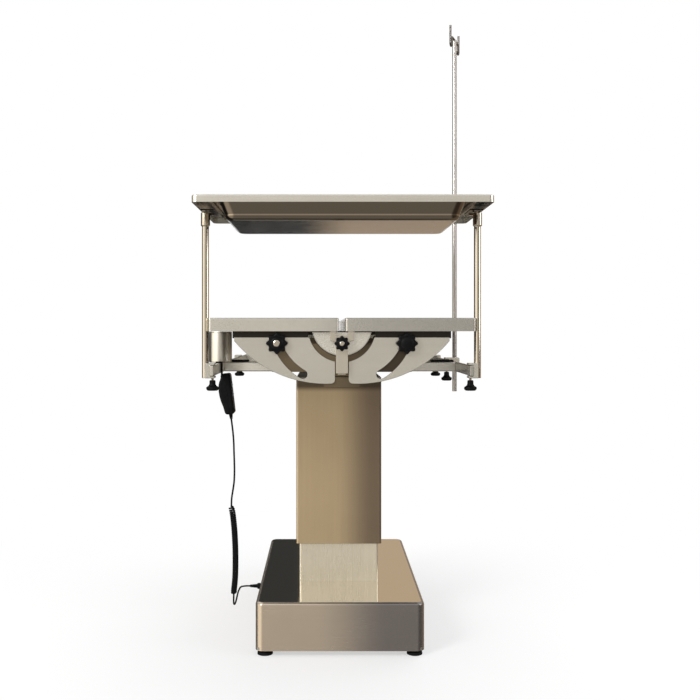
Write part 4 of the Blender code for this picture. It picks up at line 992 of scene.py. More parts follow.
class TABLE_OT_fittings(bpy.types.Operator):
    """Make the mains inlet at the back and the cord gland at the side"""

    bl_idname = "surgery_table.fittings"
    bl_label = "Inlet and Gland"

    def execute(self, context):
        room = Room("mains_inlet")
        back = Vector((room.centre.x, room.low.y, room.centre.z))
        outline = rounded_rectangle(room.half.x, room.half.z, INLET_CORNER, (back.x, back.z))
        socket = eased(both_sides(SOCKET_RIGHT), SOCKET_EASE, True)
        socket = [(back.x + x, back.z + z) for x, z in socket]
        face = plate([outline, socket], "Y", back.y, room.high.y, INLET_EDGE)
        bed = rounded_box(back - SOCKET_BED, back + SOCKET_BED + SOCKET_FLOOR, BED_EDGE)
        piece("inlet_flange", joined(face, bed), "base", "black_plastic", ["mains_inlet"])
        pins = []
        for x, z in PIN_PLACES:
            corner = back + Vector((x - PIN_SIZE.x / 2, 0, z - PIN_SIZE.z / 2))
            pins.append(rounded_box(corner, corner + PIN_SIZE, PIN_EDGE))
        piece("inlet_pins", joined(*pins), "base", "bright_steel")
        y = room.high.y - INLET_SCREW_SINK
        rows = [((back.x + side * INLET_SCREW_X, y, back.z), (0, 1, 0)) for side, name in SIDES]
        screws("inlet_screws", "base", rows, INLET_SCREW)
        self.gland()
        return {"FINISHED"}

    def gland(self):
        """Tapered and ribbed strain relief on a flange."""
        room = Room("cord_gland")
        flange = room.half.y
        length = room.half.x * 2
        rows = []
        for i in range(GLAND_RIBS):
            radius = GLAND_TIP + (GLAND_ROOT - GLAND_TIP) * (i + 1) / GLAND_RIBS
            rows.append((radius, length * (GLAND_FIRST - GLAND_RUN * i / GLAND_RIBS)))
        profile = [(0, length), (GLAND_TIP, length)] + ridges(rows, *GLAND_RIB)
        profile += [(0.0055, length * 0.32), (flange * 0.92, length * 0.28), (flange, length * 0.22)]
        profile += [(flange, 0), (0, 0)]
        relief = turned(profile, (room.high.x, *room.centre.yz), (-1, 0, 0), 32)
        piece("gland_relief", relief, "base", "black_rubber", ["cord_gland"])


# Underframe

BAR_WALL = 0.003
BAR_EDGE = 0.0004
CAP_DEPTH = 0.003
RAIL_CORNER = 0.0016
RAIL_EDGE = 0.001
RAIL_SCREW = (0.0060, 0.0024, 0.5)
RAIL_SINK = 0.0030
PAD_INNER = 0.232
PAD_OUTER = 0.290
PAD_RISE = 0.0055
PAD_INSET = 0.002
PAD_EDGE = 0.0018


class TABLE_OT_underframe(bpy.types.Operator):
    """Make the spine beam, crossbars and side rails"""

    bl_idname = "surgery_table.underframe"
    bl_label = "Underframe and Rails"

    def execute(self, context):
        self.box_tube("spine_beam", "Y", "panel_steel", CAP_DEPTH)
        spine = Room("spine_beam")
        caps = []
        for end, name in ENDS:
            ys = levels(end, spine.high.y, spine.high.y - CAP_DEPTH - FIT)
            low = (spine.low.x, ys[0], spine.low.z)
            caps.append(rounded_box(low, (spine.high.x, ys[1], spine.high.z), CUT_EDGE))
        # The caps are dark brown: painted shade, so the spine's ends read as the shadow below the top
        piece("spine_caps", joined(*caps), "lift", "lock_steel")
        for end, name in ENDS:
            self.box_tube(f"{name}_crossbar", "X", "cross_steel")
        bars = [Room(f"{name}_crossbar") for end, name in ENDS]
        for side, name in SIDES:
            self.rail(side, name, bars)
        front = bars[0]
        near = (PAD_INNER, front.low.y + PAD_INSET, front.high.z)
        far = (PAD_OUTER, front.high.y - PAD_INSET, front.high.z + PAD_RISE)
        pads = [mirrored(rounded_box(near, far, PAD_EDGE), side) for side, name in SIDES]
        piece("crossbar_pads", joined(*pads), "lift", "black_rubber")
        x = RAIL.high.x - RAIL_SINK + RAIL_SCREW[1] / 2
        rows = []
        for (side, name), cross in product(SIDES, bars):
            rows.append(((side * x, cross.centre.y, RAIL.centre.z), (side, 0, 0)))
        screws("rail_screws", "lift", rows, RAIL_SCREW)
        return {"FINISHED"}

    def rail(self, side, name, bars):
        """A rail with a pocket for the screw into each crossbar."""
        node = f"{name}_rail"
        room = Room(node)
        middle = (room.centre.x, room.centre.z)
        outline = rounded_rectangle(room.half.x, room.half.z, RAIL_CORNER, middle)
        rail = plate([outline], "Y", room.low.y, room.high.y, RAIL_EDGE)
        sink = Vector((RAIL_SINK, 0, 0))
        for cross in bars:
            face = Vector((side * RAIL.high.x, cross.centre.y, RAIL.centre.z))
            pocket = bar(face - sink, face + sink, RAIL_SCREW[0] + FIT, CUT_EDGE / 3)
            rail = carved(rail, pocket)
        piece(f"{name}_side_rail", rail, "lift", "panel_steel", [node])

    def box_tube(self, node, along, look, cap=0.0):
        room = Room(node)
        if along == "Y":
            across, place, ends = room.half.x, room.centre.x, (room.low.y + cap, room.high.y - cap)
        else:
            across, place, ends = room.half.y, room.centre.y, (room.low.x, room.high.x)
        middle = (place, room.centre.z)
        up = room.half.z
        outer = rounded_rectangle(across, up, BAR_WALL, middle, 6)
        bore = rounded_rectangle(across - BAR_WALL, up - BAR_WALL, BAR_WALL / 2, middle, 4)
        walls = plate([outer, bore], along, *ends, BAR_EDGE)
        piece(f"{node}_tube", walls, "lift", look, [node], SHEET_SHARP)


# Top panels with their quadrants

PANEL_CORNER = 0.006
PANEL_EDGE = 0.003
PANEL_SHEET = 0.0015
NOTCH = 0.025
EAR = 0.013
SKIRT_FACING = 0.9
TILT = math.radians(40)
EYE_RADIUS = 0.0043
QUADRANT_TIP = Vector((0.243, 0.803))
QUADRANT_FOOT = Vector((0.0155, 0.707))
QUADRANT_SWEEP = 0.270
QUADRANT_ROUND = 0.009
QUADRANT_TOP = 0.811
QUADRANT_SHEET = 0.004
QUADRANT_EDGE = 0.0007
GUTTER_ROOM = 0.076
GUTTER_ROOM_Z = 0.831
SLOT_HALF = 0.010
STIFFENER_LOW = 0.809
STIFFENER_END = 0.247
STIFFENER_BACK = 0.0035
STIFFENER_EASE = 0.0015
LUG_INNER = 0.0105


class TABLE_OT_panels(bpy.types.Operator):
    """Make the two folded top panels"""

    bl_idname = "surgery_table.panels"
    bl_label = "Top Panels"

    def execute(self, context):
        inner = PANEL.low.x
        for side, name in SIDES:
            node = f"{name}_panel"
            room = Room(node)
            panel = pan(room, PANEL_CORNER, PANEL_EDGE, PANEL_SHEET)
            xs = levels(side, inner - PANEL_SHEET, inner + PANEL_SHEET * 2)
            for end, end_name in ENDS:
                ys = levels(end, room.high.y - PANEL_EDGE, room.high.y - NOTCH)
                corner = (xs[0], ys[0], room.low.z - PANEL_EDGE)
                panel = carved(panel, rounded_box(corner, (xs[1], ys[1], HINGE.z + EAR / 2), 0))
            body = f"{name}_top"
            sheet = piece(f"{node}_sheet", panel, body, "panel_steel", [node], SHEET_SHARP)
            self.polish(sheet.data, side)
        return {"FINISHED"}

    def polish(self, mesh, side):
        """Give the skirt beside the gutter its mirror finish."""
        mesh.materials.append(LOOKS["bright_steel"])
        for face in mesh.polygons:
            near = abs(face.center.x - COLUMN.x) < PANEL.low.x + PANEL_SHEET / 2
            if near and face.normal.x * side < -SKIRT_FACING:
                face.material_index = 1


def quadrant_outline():
    """Sector under a right-hand panel, clear of the gutter and round at its foot."""
    tip = QUADRANT_TIP
    foot = QUADRANT_FOOT
    chord = foot - tip
    lift = math.sqrt(QUADRANT_SWEEP**2 - (chord.length / 2) ** 2)
    centre = (tip + foot) / 2 + Vector((chord.y, -chord.x)).normalized() * lift
    round_x = foot.x + QUADRANT_ROUND
    start = math.atan2(tip.y - centre.y, tip.x - centre.x)
    end = -math.acos((round_x - centre.x) / QUADRANT_SWEEP)
    round_z = centre.y + QUADRANT_SWEEP * math.sin(end) + QUADRANT_ROUND
    outline = [(tip.x, QUADRANT_TOP)] + arc(centre, QUADRANT_SWEEP, start, end, 36)
    outline += arc((round_x, round_z), QUADRANT_ROUND, -QUARTER, -math.pi, 8)[1:]
    low = -math.acos(foot.x / GUTTER_ROOM)
    high = math.asin((QUADRANT_TOP - GUTTER_ROOM_Z) / GUTTER_ROOM)
    return outline + arc((0, GUTTER_ROOM_Z), GUTTER_ROOM, low, high, 24)


def slot_outline():
    """Curved slot about the hinge, as long as the panel's tilt."""
    centre = HINGE.xz
    reach = STUD.xz - centre
    radius = reach.length
    top = math.atan2(reach.y, reach.x)
    points = []
    for start, end, out, turn in ((top - TILT, top, 1, 0), (top, top - TILT, -1, math.pi)):
        points += arc(centre, radius + out * SLOT_HALF, start, end, 20)
        stop = (centre.x + radius * math.cos(end), centre.y + radius * math.sin(end))
        points += arc(stop, SLOT_HALF, end + turn, end + turn + math.pi, 12)[1:-1]
    return points


def stiffener_outline():
    """Bar inside a right-hand panel that carries the quadrant and the hinge eye."""
    top = PANEL.high.z - PANEL_SHEET - FIT
    lug_low = PANEL.low.z + PANEL_SHEET
    outline = (
        (LUG_INNER, top), (LUG_INNER, lug_low), (GUTTER_ROOM, lug_low), (GUTTER_ROOM, STIFFENER_LOW),
        (STIFFENER_END, STIFFENER_LOW), (STIFFENER_END, top),
    )
    return eased(outline, STIFFENER_EASE, True)


class TABLE_OT_quadrants(bpy.types.Operator):
    """Make the slotted quadrants and the stiffeners that carry them"""

    bl_idname = "surgery_table.quadrants"
    bl_label = "Slotted Quadrants"

    def execute(self, context):
        sector = [quadrant_outline(), slot_outline()]
        stay = [stiffener_outline(), circle(HINGE.xz, EYE_RADIUS)]
        for (end, end_name), (side, side_name) in product(ENDS, SIDES):
            node = f"{side_name}_{end_name}_quadrant"
            body = f"{side_name}_top"
            room = Room(node)
            inner, outer = sorted((abs(room.low.y), abs(room.high.y)))
            face = plate(sector, "Y", *levels(end, outer, outer - QUADRANT_SHEET), QUADRANT_EDGE)
            stiff = plate(stay, "Y", *levels(end, outer - STIFFENER_BACK, inner), QUADRANT_EDGE)
            piece(f"{node}_plate", mirrored(face, side), body, "quadrant_steel", [node], SHEET_SHARP)
            # The stiffeners are near black: painted shade under the panels
            piece(f"{node}_stiffener", mirrored(stiff, side), body, "dark_steel")
        return {"FINISHED"}


# End brackets, hinge rods and gutter

POST_HALF = 0.0135
POST_BACK = 0.638
POST_FRONT = 0.646
POST_EDGE = 0.0008
WEB_HALF = 0.009
HEAD_LOW = 0.800
HEAD_TOP = 0.815
HEAD_TAPER = 0.004
FOOT_TOP = 0.730
FOOT_HALF = 0.030
FOOT_LENGTH = 0.050
FOOT_EDGE = 0.0015
FOOT_SCREW = (0.0055, 0.0045, 0.55)
FOOT_SCREW_AT = 0.6
LOCK_BACK = 0.6237
LOCK_FRONT = 0.6297
LOCK_ARM = 0.012
LOCK_BAR_LOW = 0.733
LOCK_BAR_TOP = 0.762
# The lock plate rises round the gutter to this shoulder, so that its dark brown fills the gap between gutter and
# quadrants as painted shade
LOCK_SHOULDER = 0.797
LOCK_ROOM = 0.0695
LOCK_EASE = 0.002
LOCK_BUSH = 0.0095
LOCK_STUD = 0.004
LOCK_NUT = 0.0075
LOCK_NUT_HEIGHT = 0.0055
STUD_BITE = 0.016
STUD_PITCH = 0.00125
THREAD_DEPTH = 0.0006
# How far welded plates run into each other
WELD_BITE = 0.002
QUADRANT_FACE = 0.634
ROD_RADIUS = 0.004
ROD_EDGE = 0.001
GUTTER_Z = 0.838
GUTTER_SHEET = 0.0015
GUTTER_RADIUS = 0.068
GUTTER_STEPS = 48
CAP_EDGE = 0.0003
RIM_BEAD = 0.0014
BEAD_EDGE = 0.0008


def post_outline():
    """T-shaped hinge post with two round ears."""
    half = EAR / 2
    right = [(POST_HALF, FOOT_TOP), (POST_HALF, HEAD_LOW), (HINGE.x + half, HEAD_LOW + HEAD_TAPER)]
    return both_sides(right + arc(HINGE.xz, half, 0, math.pi, 16) + [(HINGE.x - half, HEAD_TOP)])


def lock_outline():
    """Plate behind the quadrants that holds the two lock studs."""
    outer = STUD.x + LOCK_ARM
    inner = STUD.x - LOCK_ARM
    top = STUD.z + 1.5 * LOCK_STUD
    right = [(outer, LOCK_BAR_LOW), (outer, top), (inner, top), (inner, LOCK_SHOULDER)]
    start = math.asin((LOCK_SHOULDER - GUTTER_Z) / LOCK_ROOM)
    seat = arc((0, GUTTER_Z), LOCK_ROOM, start, -math.pi - start, 32)
    left = [(-x, z) for x, z in reversed(right)]
    return eased(right + seat + left, LOCK_EASE, True)


def threaded_stud(x, z, start, end, way):
    """A stud along Y with a threaded end and a domed tip."""
    length = end - start
    profile = [(0, length), (LOCK_STUD * 0.6, length), (LOCK_STUD * 0.9, length - 0.001)]
    profile += thread(LOCK_STUD, length - 0.0012, length - STUD_BITE, STUD_PITCH, THREAD_DEPTH)
    profile += [(LOCK_STUD, 0), (0, 0)]
    return turned(profile, (x, way * start, z), (0, way, 0), 24)


class TABLE_OT_brackets(bpy.types.Operator):
    """Make the end brackets with their lock studs, and the hinge rods"""

    bl_idname = "surgery_table.brackets"
    bl_label = "End Brackets"

    def execute(self, context):
        for end, name in ENDS:
            self.plates(end, name)
            self.studs(end, name)
        for side, name in SIDES:
            room = Room(f"{name}_hinge_rod")
            ends = [(side * HINGE.x, y, HINGE.z) for y in (room.low.y, room.high.y)]
            rod = bar(*ends, ROD_RADIUS, ROD_EDGE)
            piece(f"{name}_hinge_pin", rod, "lift", "bright_steel", [f"{name}_hinge_rod"])
        return {"FINISHED"}

    def plates(self, end, name):
        """Hinge post with its web, and lock plate with its foot."""
        eyes = [circle((side * HINGE.x, HINGE.z), EYE_RADIUS) for side, side_name in SIDES]
        post = plate([post_outline(), *eyes], "Y", *levels(end, POST_BACK, POST_FRONT), POST_EDGE)
        ys = levels(end, POST_BACK + WELD_BITE, LOCK_FRONT - WELD_BITE)
        low = (-WEB_HALF, ys[0], FOOT_TOP - 0.003)
        web = rounded_box(low, (WEB_HALF, ys[1], LOCK_BAR_TOP - 0.004), CUT_EDGE)
        node = f"{name}_end_bracket"
        piece(f"{name}_hinge_post", joined(post, web), "lift", "post_steel", [node], SHEET_SHARP)
        lock = plate([lock_outline()], "Y", *levels(end, LOCK_BACK, LOCK_FRONT), CUT_EDGE)
        ys = levels(end, LOCK_FRONT - 0.001, LOCK_FRONT - FOOT_LENGTH)
        low = (-FOOT_HALF, ys[0], Room("spine_beam").high.z + FIT)
        foot = rounded_box(low, (FOOT_HALF, ys[1], LOCK_BAR_LOW + 0.003), FOOT_EDGE)
        # Dark brown lock plate with its foot: painted shade behind the quadrants and round the gutter
        piece(f"{name}_lock_plate", joined(lock, foot), "lift", "lock_steel", (), SHEET_SHARP)

    def studs(self, end, name):
        """Lock studs in their bushes, the gutter's stud at the front, nuts and foot screws."""
        studs = []
        nuts = []
        rows = []
        for side, side_name in SIDES:
            x = side * STUD.x
            studs.append(threaded_stud(x, STUD.z, LOCK_BACK, QUADRANT_FACE + FIT + STUD_BITE, end))
            ys = (end * (LOCK_FRONT - WELD_BITE), end * (QUADRANT_FACE - FIT))
            studs.append(bar((x, ys[0], STUD.z), (x, ys[1], STUD.z), LOCK_BUSH, CUT_EDGE))
            nut = plate([hexagon(LOCK_NUT)], "Z", 0, LOCK_NUT_HEIGHT, NUT_EDGE)
            place = Matrix.Translation((x, end * (LOCK_BACK - FIT), STUD.z))
            nuts.append(moved(nut, place @ Matrix.Rotation(QUARTER * end, 4, "X")))
            y = end * (LOCK_FRONT - FOOT_LENGTH * FOOT_SCREW_AT)
            rows.append(((side * FOOT_HALF * FOOT_SCREW_AT, y, LOCK_BAR_LOW + 0.004), (0, 0, 1)))
        if end < 0:
            tip = POST_FRONT + FIT + STUD_BITE
            studs.append(threaded_stud(0, GUTTER_STUD.z, POST_BACK + 0.003, tip, end))
        piece(f"{name}_lock_studs", joined(*studs), "lift", "bright_steel")
        piece(f"{name}_lock_nuts", joined(*nuts), "lift", "bright_steel")
        screws(f"{name}_foot_screws", "lift", rows, FOOT_SCREW)


class TABLE_OT_gutter(bpy.types.Operator):
    """Make the half-round drain gutter"""

    bl_idname = "surgery_table.gutter"
    bl_label = "Drain Gutter"

    def execute(self, context):
        room = Room("drain_gutter")
        near, far, top = room.low.y, room.high.y, room.high.z
        slope = math.asin((GUTTER_Z - top) / GUTTER_RADIUS)
        ends = (math.pi + slope, 2 * math.pi - slope)
        middle = (0, GUTTER_Z)
        inner = GUTTER_RADIUS - GUTTER_SHEET
        rim = inner + GUTTER_SHEET / 2
        wall = arc(middle, GUTTER_RADIUS, *ends, GUTTER_STEPS)
        wall += arc(middle, inner, *reversed(ends), GUTTER_STEPS)
        parts = [plate([wall], "Y", near, far)]
        cap = arc(middle, rim, *ends, GUTTER_STEPS)
        for y in (near, far - GUTTER_SHEET):
            parts.append(plate([cap], "Y", y, y + GUTTER_SHEET, CAP_EDGE))
        for side, name in SIDES:
            x = side * rim * math.cos(slope)
            parts.append(bar((x, near, top), (x, far, top), RIM_BEAD, BEAD_EDGE, 12))
        piece("gutter_trough", joined(*parts), "lift", "gutter_steel", ["drain_gutter"])
        return {"FINISHED"}


# Star knobs

STAR_LOBES = 8
LOBE_POINTS = 12
STAR_SCALLOP = 0.10
STAR_DEPTH = 0.015
STAR_EDGE = 0.0032
STAR_CROWN = 0.006
# Radius of the crown and the hub as shares of the knob's, and the crown's dome as shares of its size
CROWN_SHARE = 0.62
CROWN_DOME = ((0, 0), (0.45, 0.05), (0.8, 0.3), (1, 0.75))
CROWN_FOOT = 1.12
CROWN_EASE = 0.2
HUB_SHARE = 0.30
HUB_DEPTH = 0.003
HUB_KNOBS = ("left_front_star_knob", "gutter_star_knob")


def star_outline(radius):
    """Shallow scallops between round lobes."""
    depth = radius * STAR_SCALLOP
    count = STAR_LOBES * LOBE_POINTS
    points = []
    for i in range(count):
        angle = 2 * math.pi * i / count
        reach = radius - depth + depth * math.cos(STAR_LOBES * angle)
        points.append((reach * math.cos(angle), reach * math.sin(angle)))
    return points


class TABLE_OT_star_knobs(bpy.types.Operator):
    """Make the lobed hand knobs on the lock studs and the gutter stud"""

    bl_idname = "surgery_table.star_knobs"
    bl_label = "Star Knobs"

    def execute(self, context):
        for (end, end_name), (side, side_name) in product(ENDS, SIDES):
            name = f"{side_name}_{end_name}"
            self.knob(f"{name}_star_knob", f"{name}_knob", pivot(f"{name}_lock"), end)
        self.knob("gutter_star_knob", "gutter_knob", GUTTER_STUD, -1)
        return {"FINISHED"}

    def knob(self, node, body, place, way):
        room = Room(node)
        radius = room.half.z
        back = Vector((place.x, room.low.y if way > 0 else room.high.y, place.z))
        turn = Matrix.Translation(back) @ Matrix.Rotation(-QUARTER * way, 4, "X")
        lobes = plate([star_outline(radius)], "Z", 0, STAR_DEPTH, STAR_EDGE)
        crown = radius * CROWN_SHARE
        top = STAR_DEPTH + STAR_CROWN
        profile = [(crown * r, top - STAR_CROWN * drop) for r, drop in CROWN_DOME]
        profile += [(crown * CROWN_FOOT, STAR_DEPTH - 0.001), (0, STAR_DEPTH / 2)]
        dome = turned(eased(profile, crown * CROWN_EASE), sides=48)
        piece(f"{node}_grip", moved(joined(lobes, dome), turn), body, "black_plastic", [node], 50)
        if node in HUB_KNOBS:
            hub = radius * HUB_SHARE
            foot = top - HUB_DEPTH
            profile = ((0, top + 0.0008), (hub * 0.8, top + 0.0006), (hub, top), (hub, foot), (0, foot))
            insert = turned(eased(profile, FINE_EDGE), sides=32)
            piece(f"{node}_hub", moved(insert, turn), body, "bright_steel")


# Rail clamps and thumb knobs

POLE_PLACE = (0.320, -0.150)
POLE_RADIUS = 0.006
POST_RADIUS = 0.008
CLAMP_HALF = 0.016
CLAMP_EDGE = 0.0012
BORE_EDGE = 0.0005
CLAMP_SCREW = (0.0026, 0.0016, 0.5)
CLAMP_SCREW_Y = 0.0122
CLAMP_SCREW_DROP = 0.0065
JAW_REACH = 0.002
JAW_EASE = 0.0016
CLEAT_WALL = 0.010
HORN_OUT = 0.006
HORN_STEM = ((0, 0.010), (0.0042, 0.010), (0.0046, 0.004), (0.0062, 0), (0, 0))
# Height of a thumb knob's head and of its neck, as shares of the whole
THUMB_HEAD = 0.324
THUMB_SHANK = 0.706
THUMB_NECK = 0.007
THUMB_EASE = 0.0011
THUMB_SCREW = 0.003
THUMB_PITCH = 0.001
THUMB_DEPTH = 0.0005
RIB_COUNT = 22
# Ring of ribs, rib and rib height as shares of a thumb knob's head
RIB_RING = 0.955
RIB_SHARE = 0.05
RIB_HEIGHT = 0.42


class TABLE_OT_clamps(bpy.types.Operator):
    """Make the rail clamps and their thumb knobs"""

    bl_idname = "surgery_table.clamps"
    bl_label = "Clamps and Thumb Knobs"

    def execute(self, context):
        for side, name in SIDES:
            post = Room(f"{name}_post").centre.x
            self.clamp(f"{name}_post_clamp", "tray_carriage", side, post, POST_RADIUS)
            self.thumb(f"{name}_post_thumb_knob", f"{name}_post_knob")
            self.cleat(f"{name}_cleat_block", f"{name}_cleat", side)
            self.thumb(f"{name}_cleat_thumb_knob", f"{name}_cleat_knob")
        self.clamp("iv_clamp", "iv_carriage", 1, POLE_PLACE[0], POLE_RADIUS)
        self.thumb("iv_thumb_knob", "iv_knob")
        return {"FINISHED"}

    def jaw(self, room, outer, side):
        """C-shaped jaw round a rail, open towards the table."""
        inner = RAIL.low.x - JAW_REACH
        throat = RAIL.high.x + FIT
        above = RAIL.high.z + FIT
        below = RAIL.low.z - FIT
        outline = (
            (inner, room.high.z), (inner, above), (throat, above), (throat, below),
            (inner, below), (inner, room.low.z), (outer, room.low.z), (outer, room.high.z),
        )
        y = room.centre.y
        jaw = plate([eased(outline, JAW_EASE, True)], "Y", y - CLAMP_HALF, y + CLAMP_HALF, CLAMP_EDGE)
        return mirrored(jaw, side)

    def clamp(self, node, body, side, bar_x, bar_radius):
        room = Room(node)
        y = room.centre.y
        outer = room.high.x if side > 0 else -room.low.x
        below = (bar_x, y, room.low.z - CLAMP_HALF)
        above = (bar_x, y, room.high.z + CLAMP_HALF)
        bore = bar(below, above, bar_radius + FIT, BORE_EDGE)
        jaw = carved(self.jaw(room, outer, side), bore)
        piece(f"{node}_jaw", jaw, body, "plate_steel", [node], SHEET_SHARP)
        x = side * (outer - CUT_EDGE)
        z = room.high.z - CLAMP_SCREW_DROP
        rows = [((x, y + way * CLAMP_SCREW_Y, z), (side, 0, 0)) for way in (-1, 1)]
        screws(f"{node}_screws", body, rows, CLAMP_SCREW)

    def cleat(self, node, body, side):
        room = Room(node)
        y = room.centre.y
        z = RAIL.centre.z
        half = room.half.y
        face = RAIL.high.x + FIT + CLEAT_WALL
        stem = mirrored(turned(HORN_STEM, (face - 0.001, y, z), (1, 0, 0), 32), side)
        profile = [
            (0, half), (0.0022, half - 0.0004), (0.0040, half - 0.0025), (0.0046, half - 0.008),
            (0.0034, half * 0.45), (0.0046, 0.004),
        ]
        profile += [(radius, -height) for radius, height in reversed(profile)]
        horn = turned(profile, (side * (face + HORN_OUT), y, z), (0, 1, 0), 32)
        jaw = joined(self.jaw(room, face, side), stem, horn)
        piece(f"{node}_jaw", jaw, body, "plate_steel", [node], 35)

    def thumb(self, node, body):
        room = Room(node)
        place = Vector((room.centre.x, room.centre.y, 0))
        head = room.half.x
        height = room.half.z * 2
        bottom = room.low.z
        top = room.high.z
        head_top = bottom + height * THUMB_HEAD
        neck_top = bottom + height * THUMB_SHANK
        rim = (head_top - bottom) / 4
        profile = (
            (0, neck_top), (THUMB_NECK * 0.86, neck_top), (THUMB_NECK, neck_top - 0.0015),
            (THUMB_NECK * 1.02, head_top + 0.004), (THUMB_NECK * 1.35, head_top),
            (head * 0.97, head_top - rim), (head * 0.97, bottom + rim), (head * 0.78, bottom), (0, bottom),
        )
        ribs = grown(TREES["ribs"], {
            "Count": RIB_COUNT, "Rim": head * RIB_RING, "Rib": head * RIB_SHARE,
            "Height": (head_top - bottom) * RIB_HEIGHT, "Material": LOOKS["black_plastic"],
        })
        middle = place + Vector((0, 0, (head_top + bottom) / 2))
        grip = joined(turned(eased(profile, THUMB_EASE), place), moved(ribs, Matrix.Translation(middle)))
        piece(f"{node}_grip", grip, body, "black_plastic", [node], 45)
        foot = neck_top - 0.001
        screw = [(0, top), (THUMB_SCREW * 0.7, top)]
        screw += thread(THUMB_SCREW, top - CUT_EDGE, foot, THUMB_PITCH, THUMB_DEPTH) + [(0, foot)]
        piece(f"{node}_screw", turned(screw, place, sides=24), body, "bright_steel")


# Overhead tray

COLLAR_LENGTH = 0.030
COLLAR_TAPER = 0.002
ROD_EASE = 0.0012
FRAME_MEMBER = 0.033
FRAME_SHEET = 0.0014
FRAME_CORNER = 0.012
FRAME_ROUND = 0.003
FRAME_BREAK = 0.0009
FRAME_LIP = 0.011
BASIN_CORNER = 0.024
BASIN_SHEET = 0.0015
BASIN_DRAFT = 0.012
BASIN_WALL = (0.2683, 0.170)
BASIN_FLANGE = 0.002
BASIN_LIP = 0.005
LEAST_CORNER = 0.01
GUSSET_HALF = 0.045
GUSSET_SHEET = 0.003
TRAY_BOLT = (0.0062, 0.0036, 0.30)
BOLT_X = 0.010
BOLT_Y = 0.028
BOLT_DROP = 0.0012


class TABLE_OT_tray(bpy.types.Operator):
    """Make the tray posts, the tray frame and the drop-in basin"""

    bl_idname = "surgery_table.tray"
    bl_label = "Instrument Tray"

    def execute(self, context):
        room = Room("tray_frame")
        middle = (room.centre.x, room.centre.y)
        self.rim(room, middle)
        self.basin(middle)
        gussets = []
        rows = []
        low = room.low.z
        for side, name in SIDES:
            post = Room(f"{name}_post")
            x, y = post.centre.xy
            self.post(f"{name}_post", post)
            outer = room.half.x - FRAME_SHEET - FIT
            xs = levels(side, outer, room.half.x - FRAME_MEMBER + FRAME_SHEET + FIT)
            far = (xs[1], y + GUSSET_HALF, low + GUSSET_SHEET)
            gussets.append(rounded_box((xs[0], y - GUSSET_HALF, low), far, CUT_EDGE))
            for way in (-1, 1):
                rows.append(((x - side * BOLT_X, y + way * BOLT_Y, low - BOLT_DROP), (0, 0, -1)))
        # The gussets are near black: painted shade under the tray
        piece("tray_gussets", joined(*gussets), "tray_carriage", "dark_steel")
        screws("tray_bolts", "tray_carriage", rows, TRAY_BOLT, 6)
        return {"FINISHED"}

    def rim(self, room, middle):
        """Folded sheet carried round a rounded rectangle."""
        drop = room.half.z * 2
        inner = FRAME_MEMBER
        fold = inner - FRAME_SHEET
        section = [
            (0, -drop), (0, -FRAME_ROUND), (FRAME_BREAK, -FRAME_BREAK), (FRAME_ROUND, 0),
            (inner - FRAME_ROUND, 0), (inner - FRAME_BREAK, -FRAME_BREAK), (inner, -FRAME_ROUND),
            (inner, -FRAME_LIP), (fold, -FRAME_LIP), (fold, -FRAME_ROUND),
            (inner - FRAME_ROUND, -FRAME_SHEET), (FRAME_ROUND, -FRAME_SHEET),
            (FRAME_SHEET, -FRAME_ROUND), (FRAME_SHEET, -drop),
        ]
        rows = []
        for inset, level in section:
            corner = max(FRAME_CORNER - inset, FRAME_CORNER / 4)
            rows.append((room.half.x - inset, room.half.y - inset, corner, room.high.z + level))
        shape, loops = loft(rows, middle, True)
        piece("tray_rim", outward(shape), "tray_carriage", "rim_steel", ["tray_frame"], 35)

    def post(self, node, room):
        neck = room.high.z - COLLAR_LENGTH
        profile = (
            (0, room.high.z), (room.half.x, room.high.z), (room.half.x, neck),
            (POST_RADIUS, neck - COLLAR_TAPER), (POST_RADIUS, room.low.z), (0, room.low.z),
        )
        rod = turned(eased(profile, ROD_EASE), (room.centre.x, room.centre.y, 0), sides=48)
        piece(f"{node}_bar", rod, "tray_carriage", "bright_steel", [node])

    def basin(self, middle):
        """Dished sheet with a flange, drafted walls, round corners and a flat floor."""
        room = Room("instrument_tray")
        rim = room.high.z
        floor = room.low.z + BASIN_SHEET
        rows = [(room.half.x - i, room.half.y - i, FRAME_CORNER, rim) for i in (0, BASIN_FLANGE)]
        for step in range(5):
            angle = step / 4 * QUARTER
            out = BASIN_LIP * (1 - math.sin(angle))
            level = rim - BASIN_LIP * (1 - math.cos(angle))
            rows.append((BASIN_WALL[0] + out, BASIN_WALL[1] + out, BASIN_CORNER + out, level))
        for step in range(7):
            angle = step / 6 * QUARTER
            turn = BASIN_DRAFT * (1 - math.cos(angle))
            inset = BASIN_DRAFT + turn
            corner = max(BASIN_CORNER - turn, LEAST_CORNER)
            level = floor + BASIN_DRAFT * (1 - math.sin(angle))
            rows.append((BASIN_WALL[0] - inset, BASIN_WALL[1] - inset, corner, level))
        shape, loops = loft(rows, middle, False)
        dish = walled(shape, shape.faces.new(loops[-1]), BASIN_SHEET)
        piece("tray_basin", dish, "tray_carriage", "basin_steel", ["instrument_tray"], 35)


# Infusion pole

HOOK_HALF = 0.036
HOOK_BEND = 0.008
HOOK_DROP = 2.4
HOOK_RISE = 0.026
HOOK_RADIUS = 0.003
HOOK_TURN = math.radians(70)


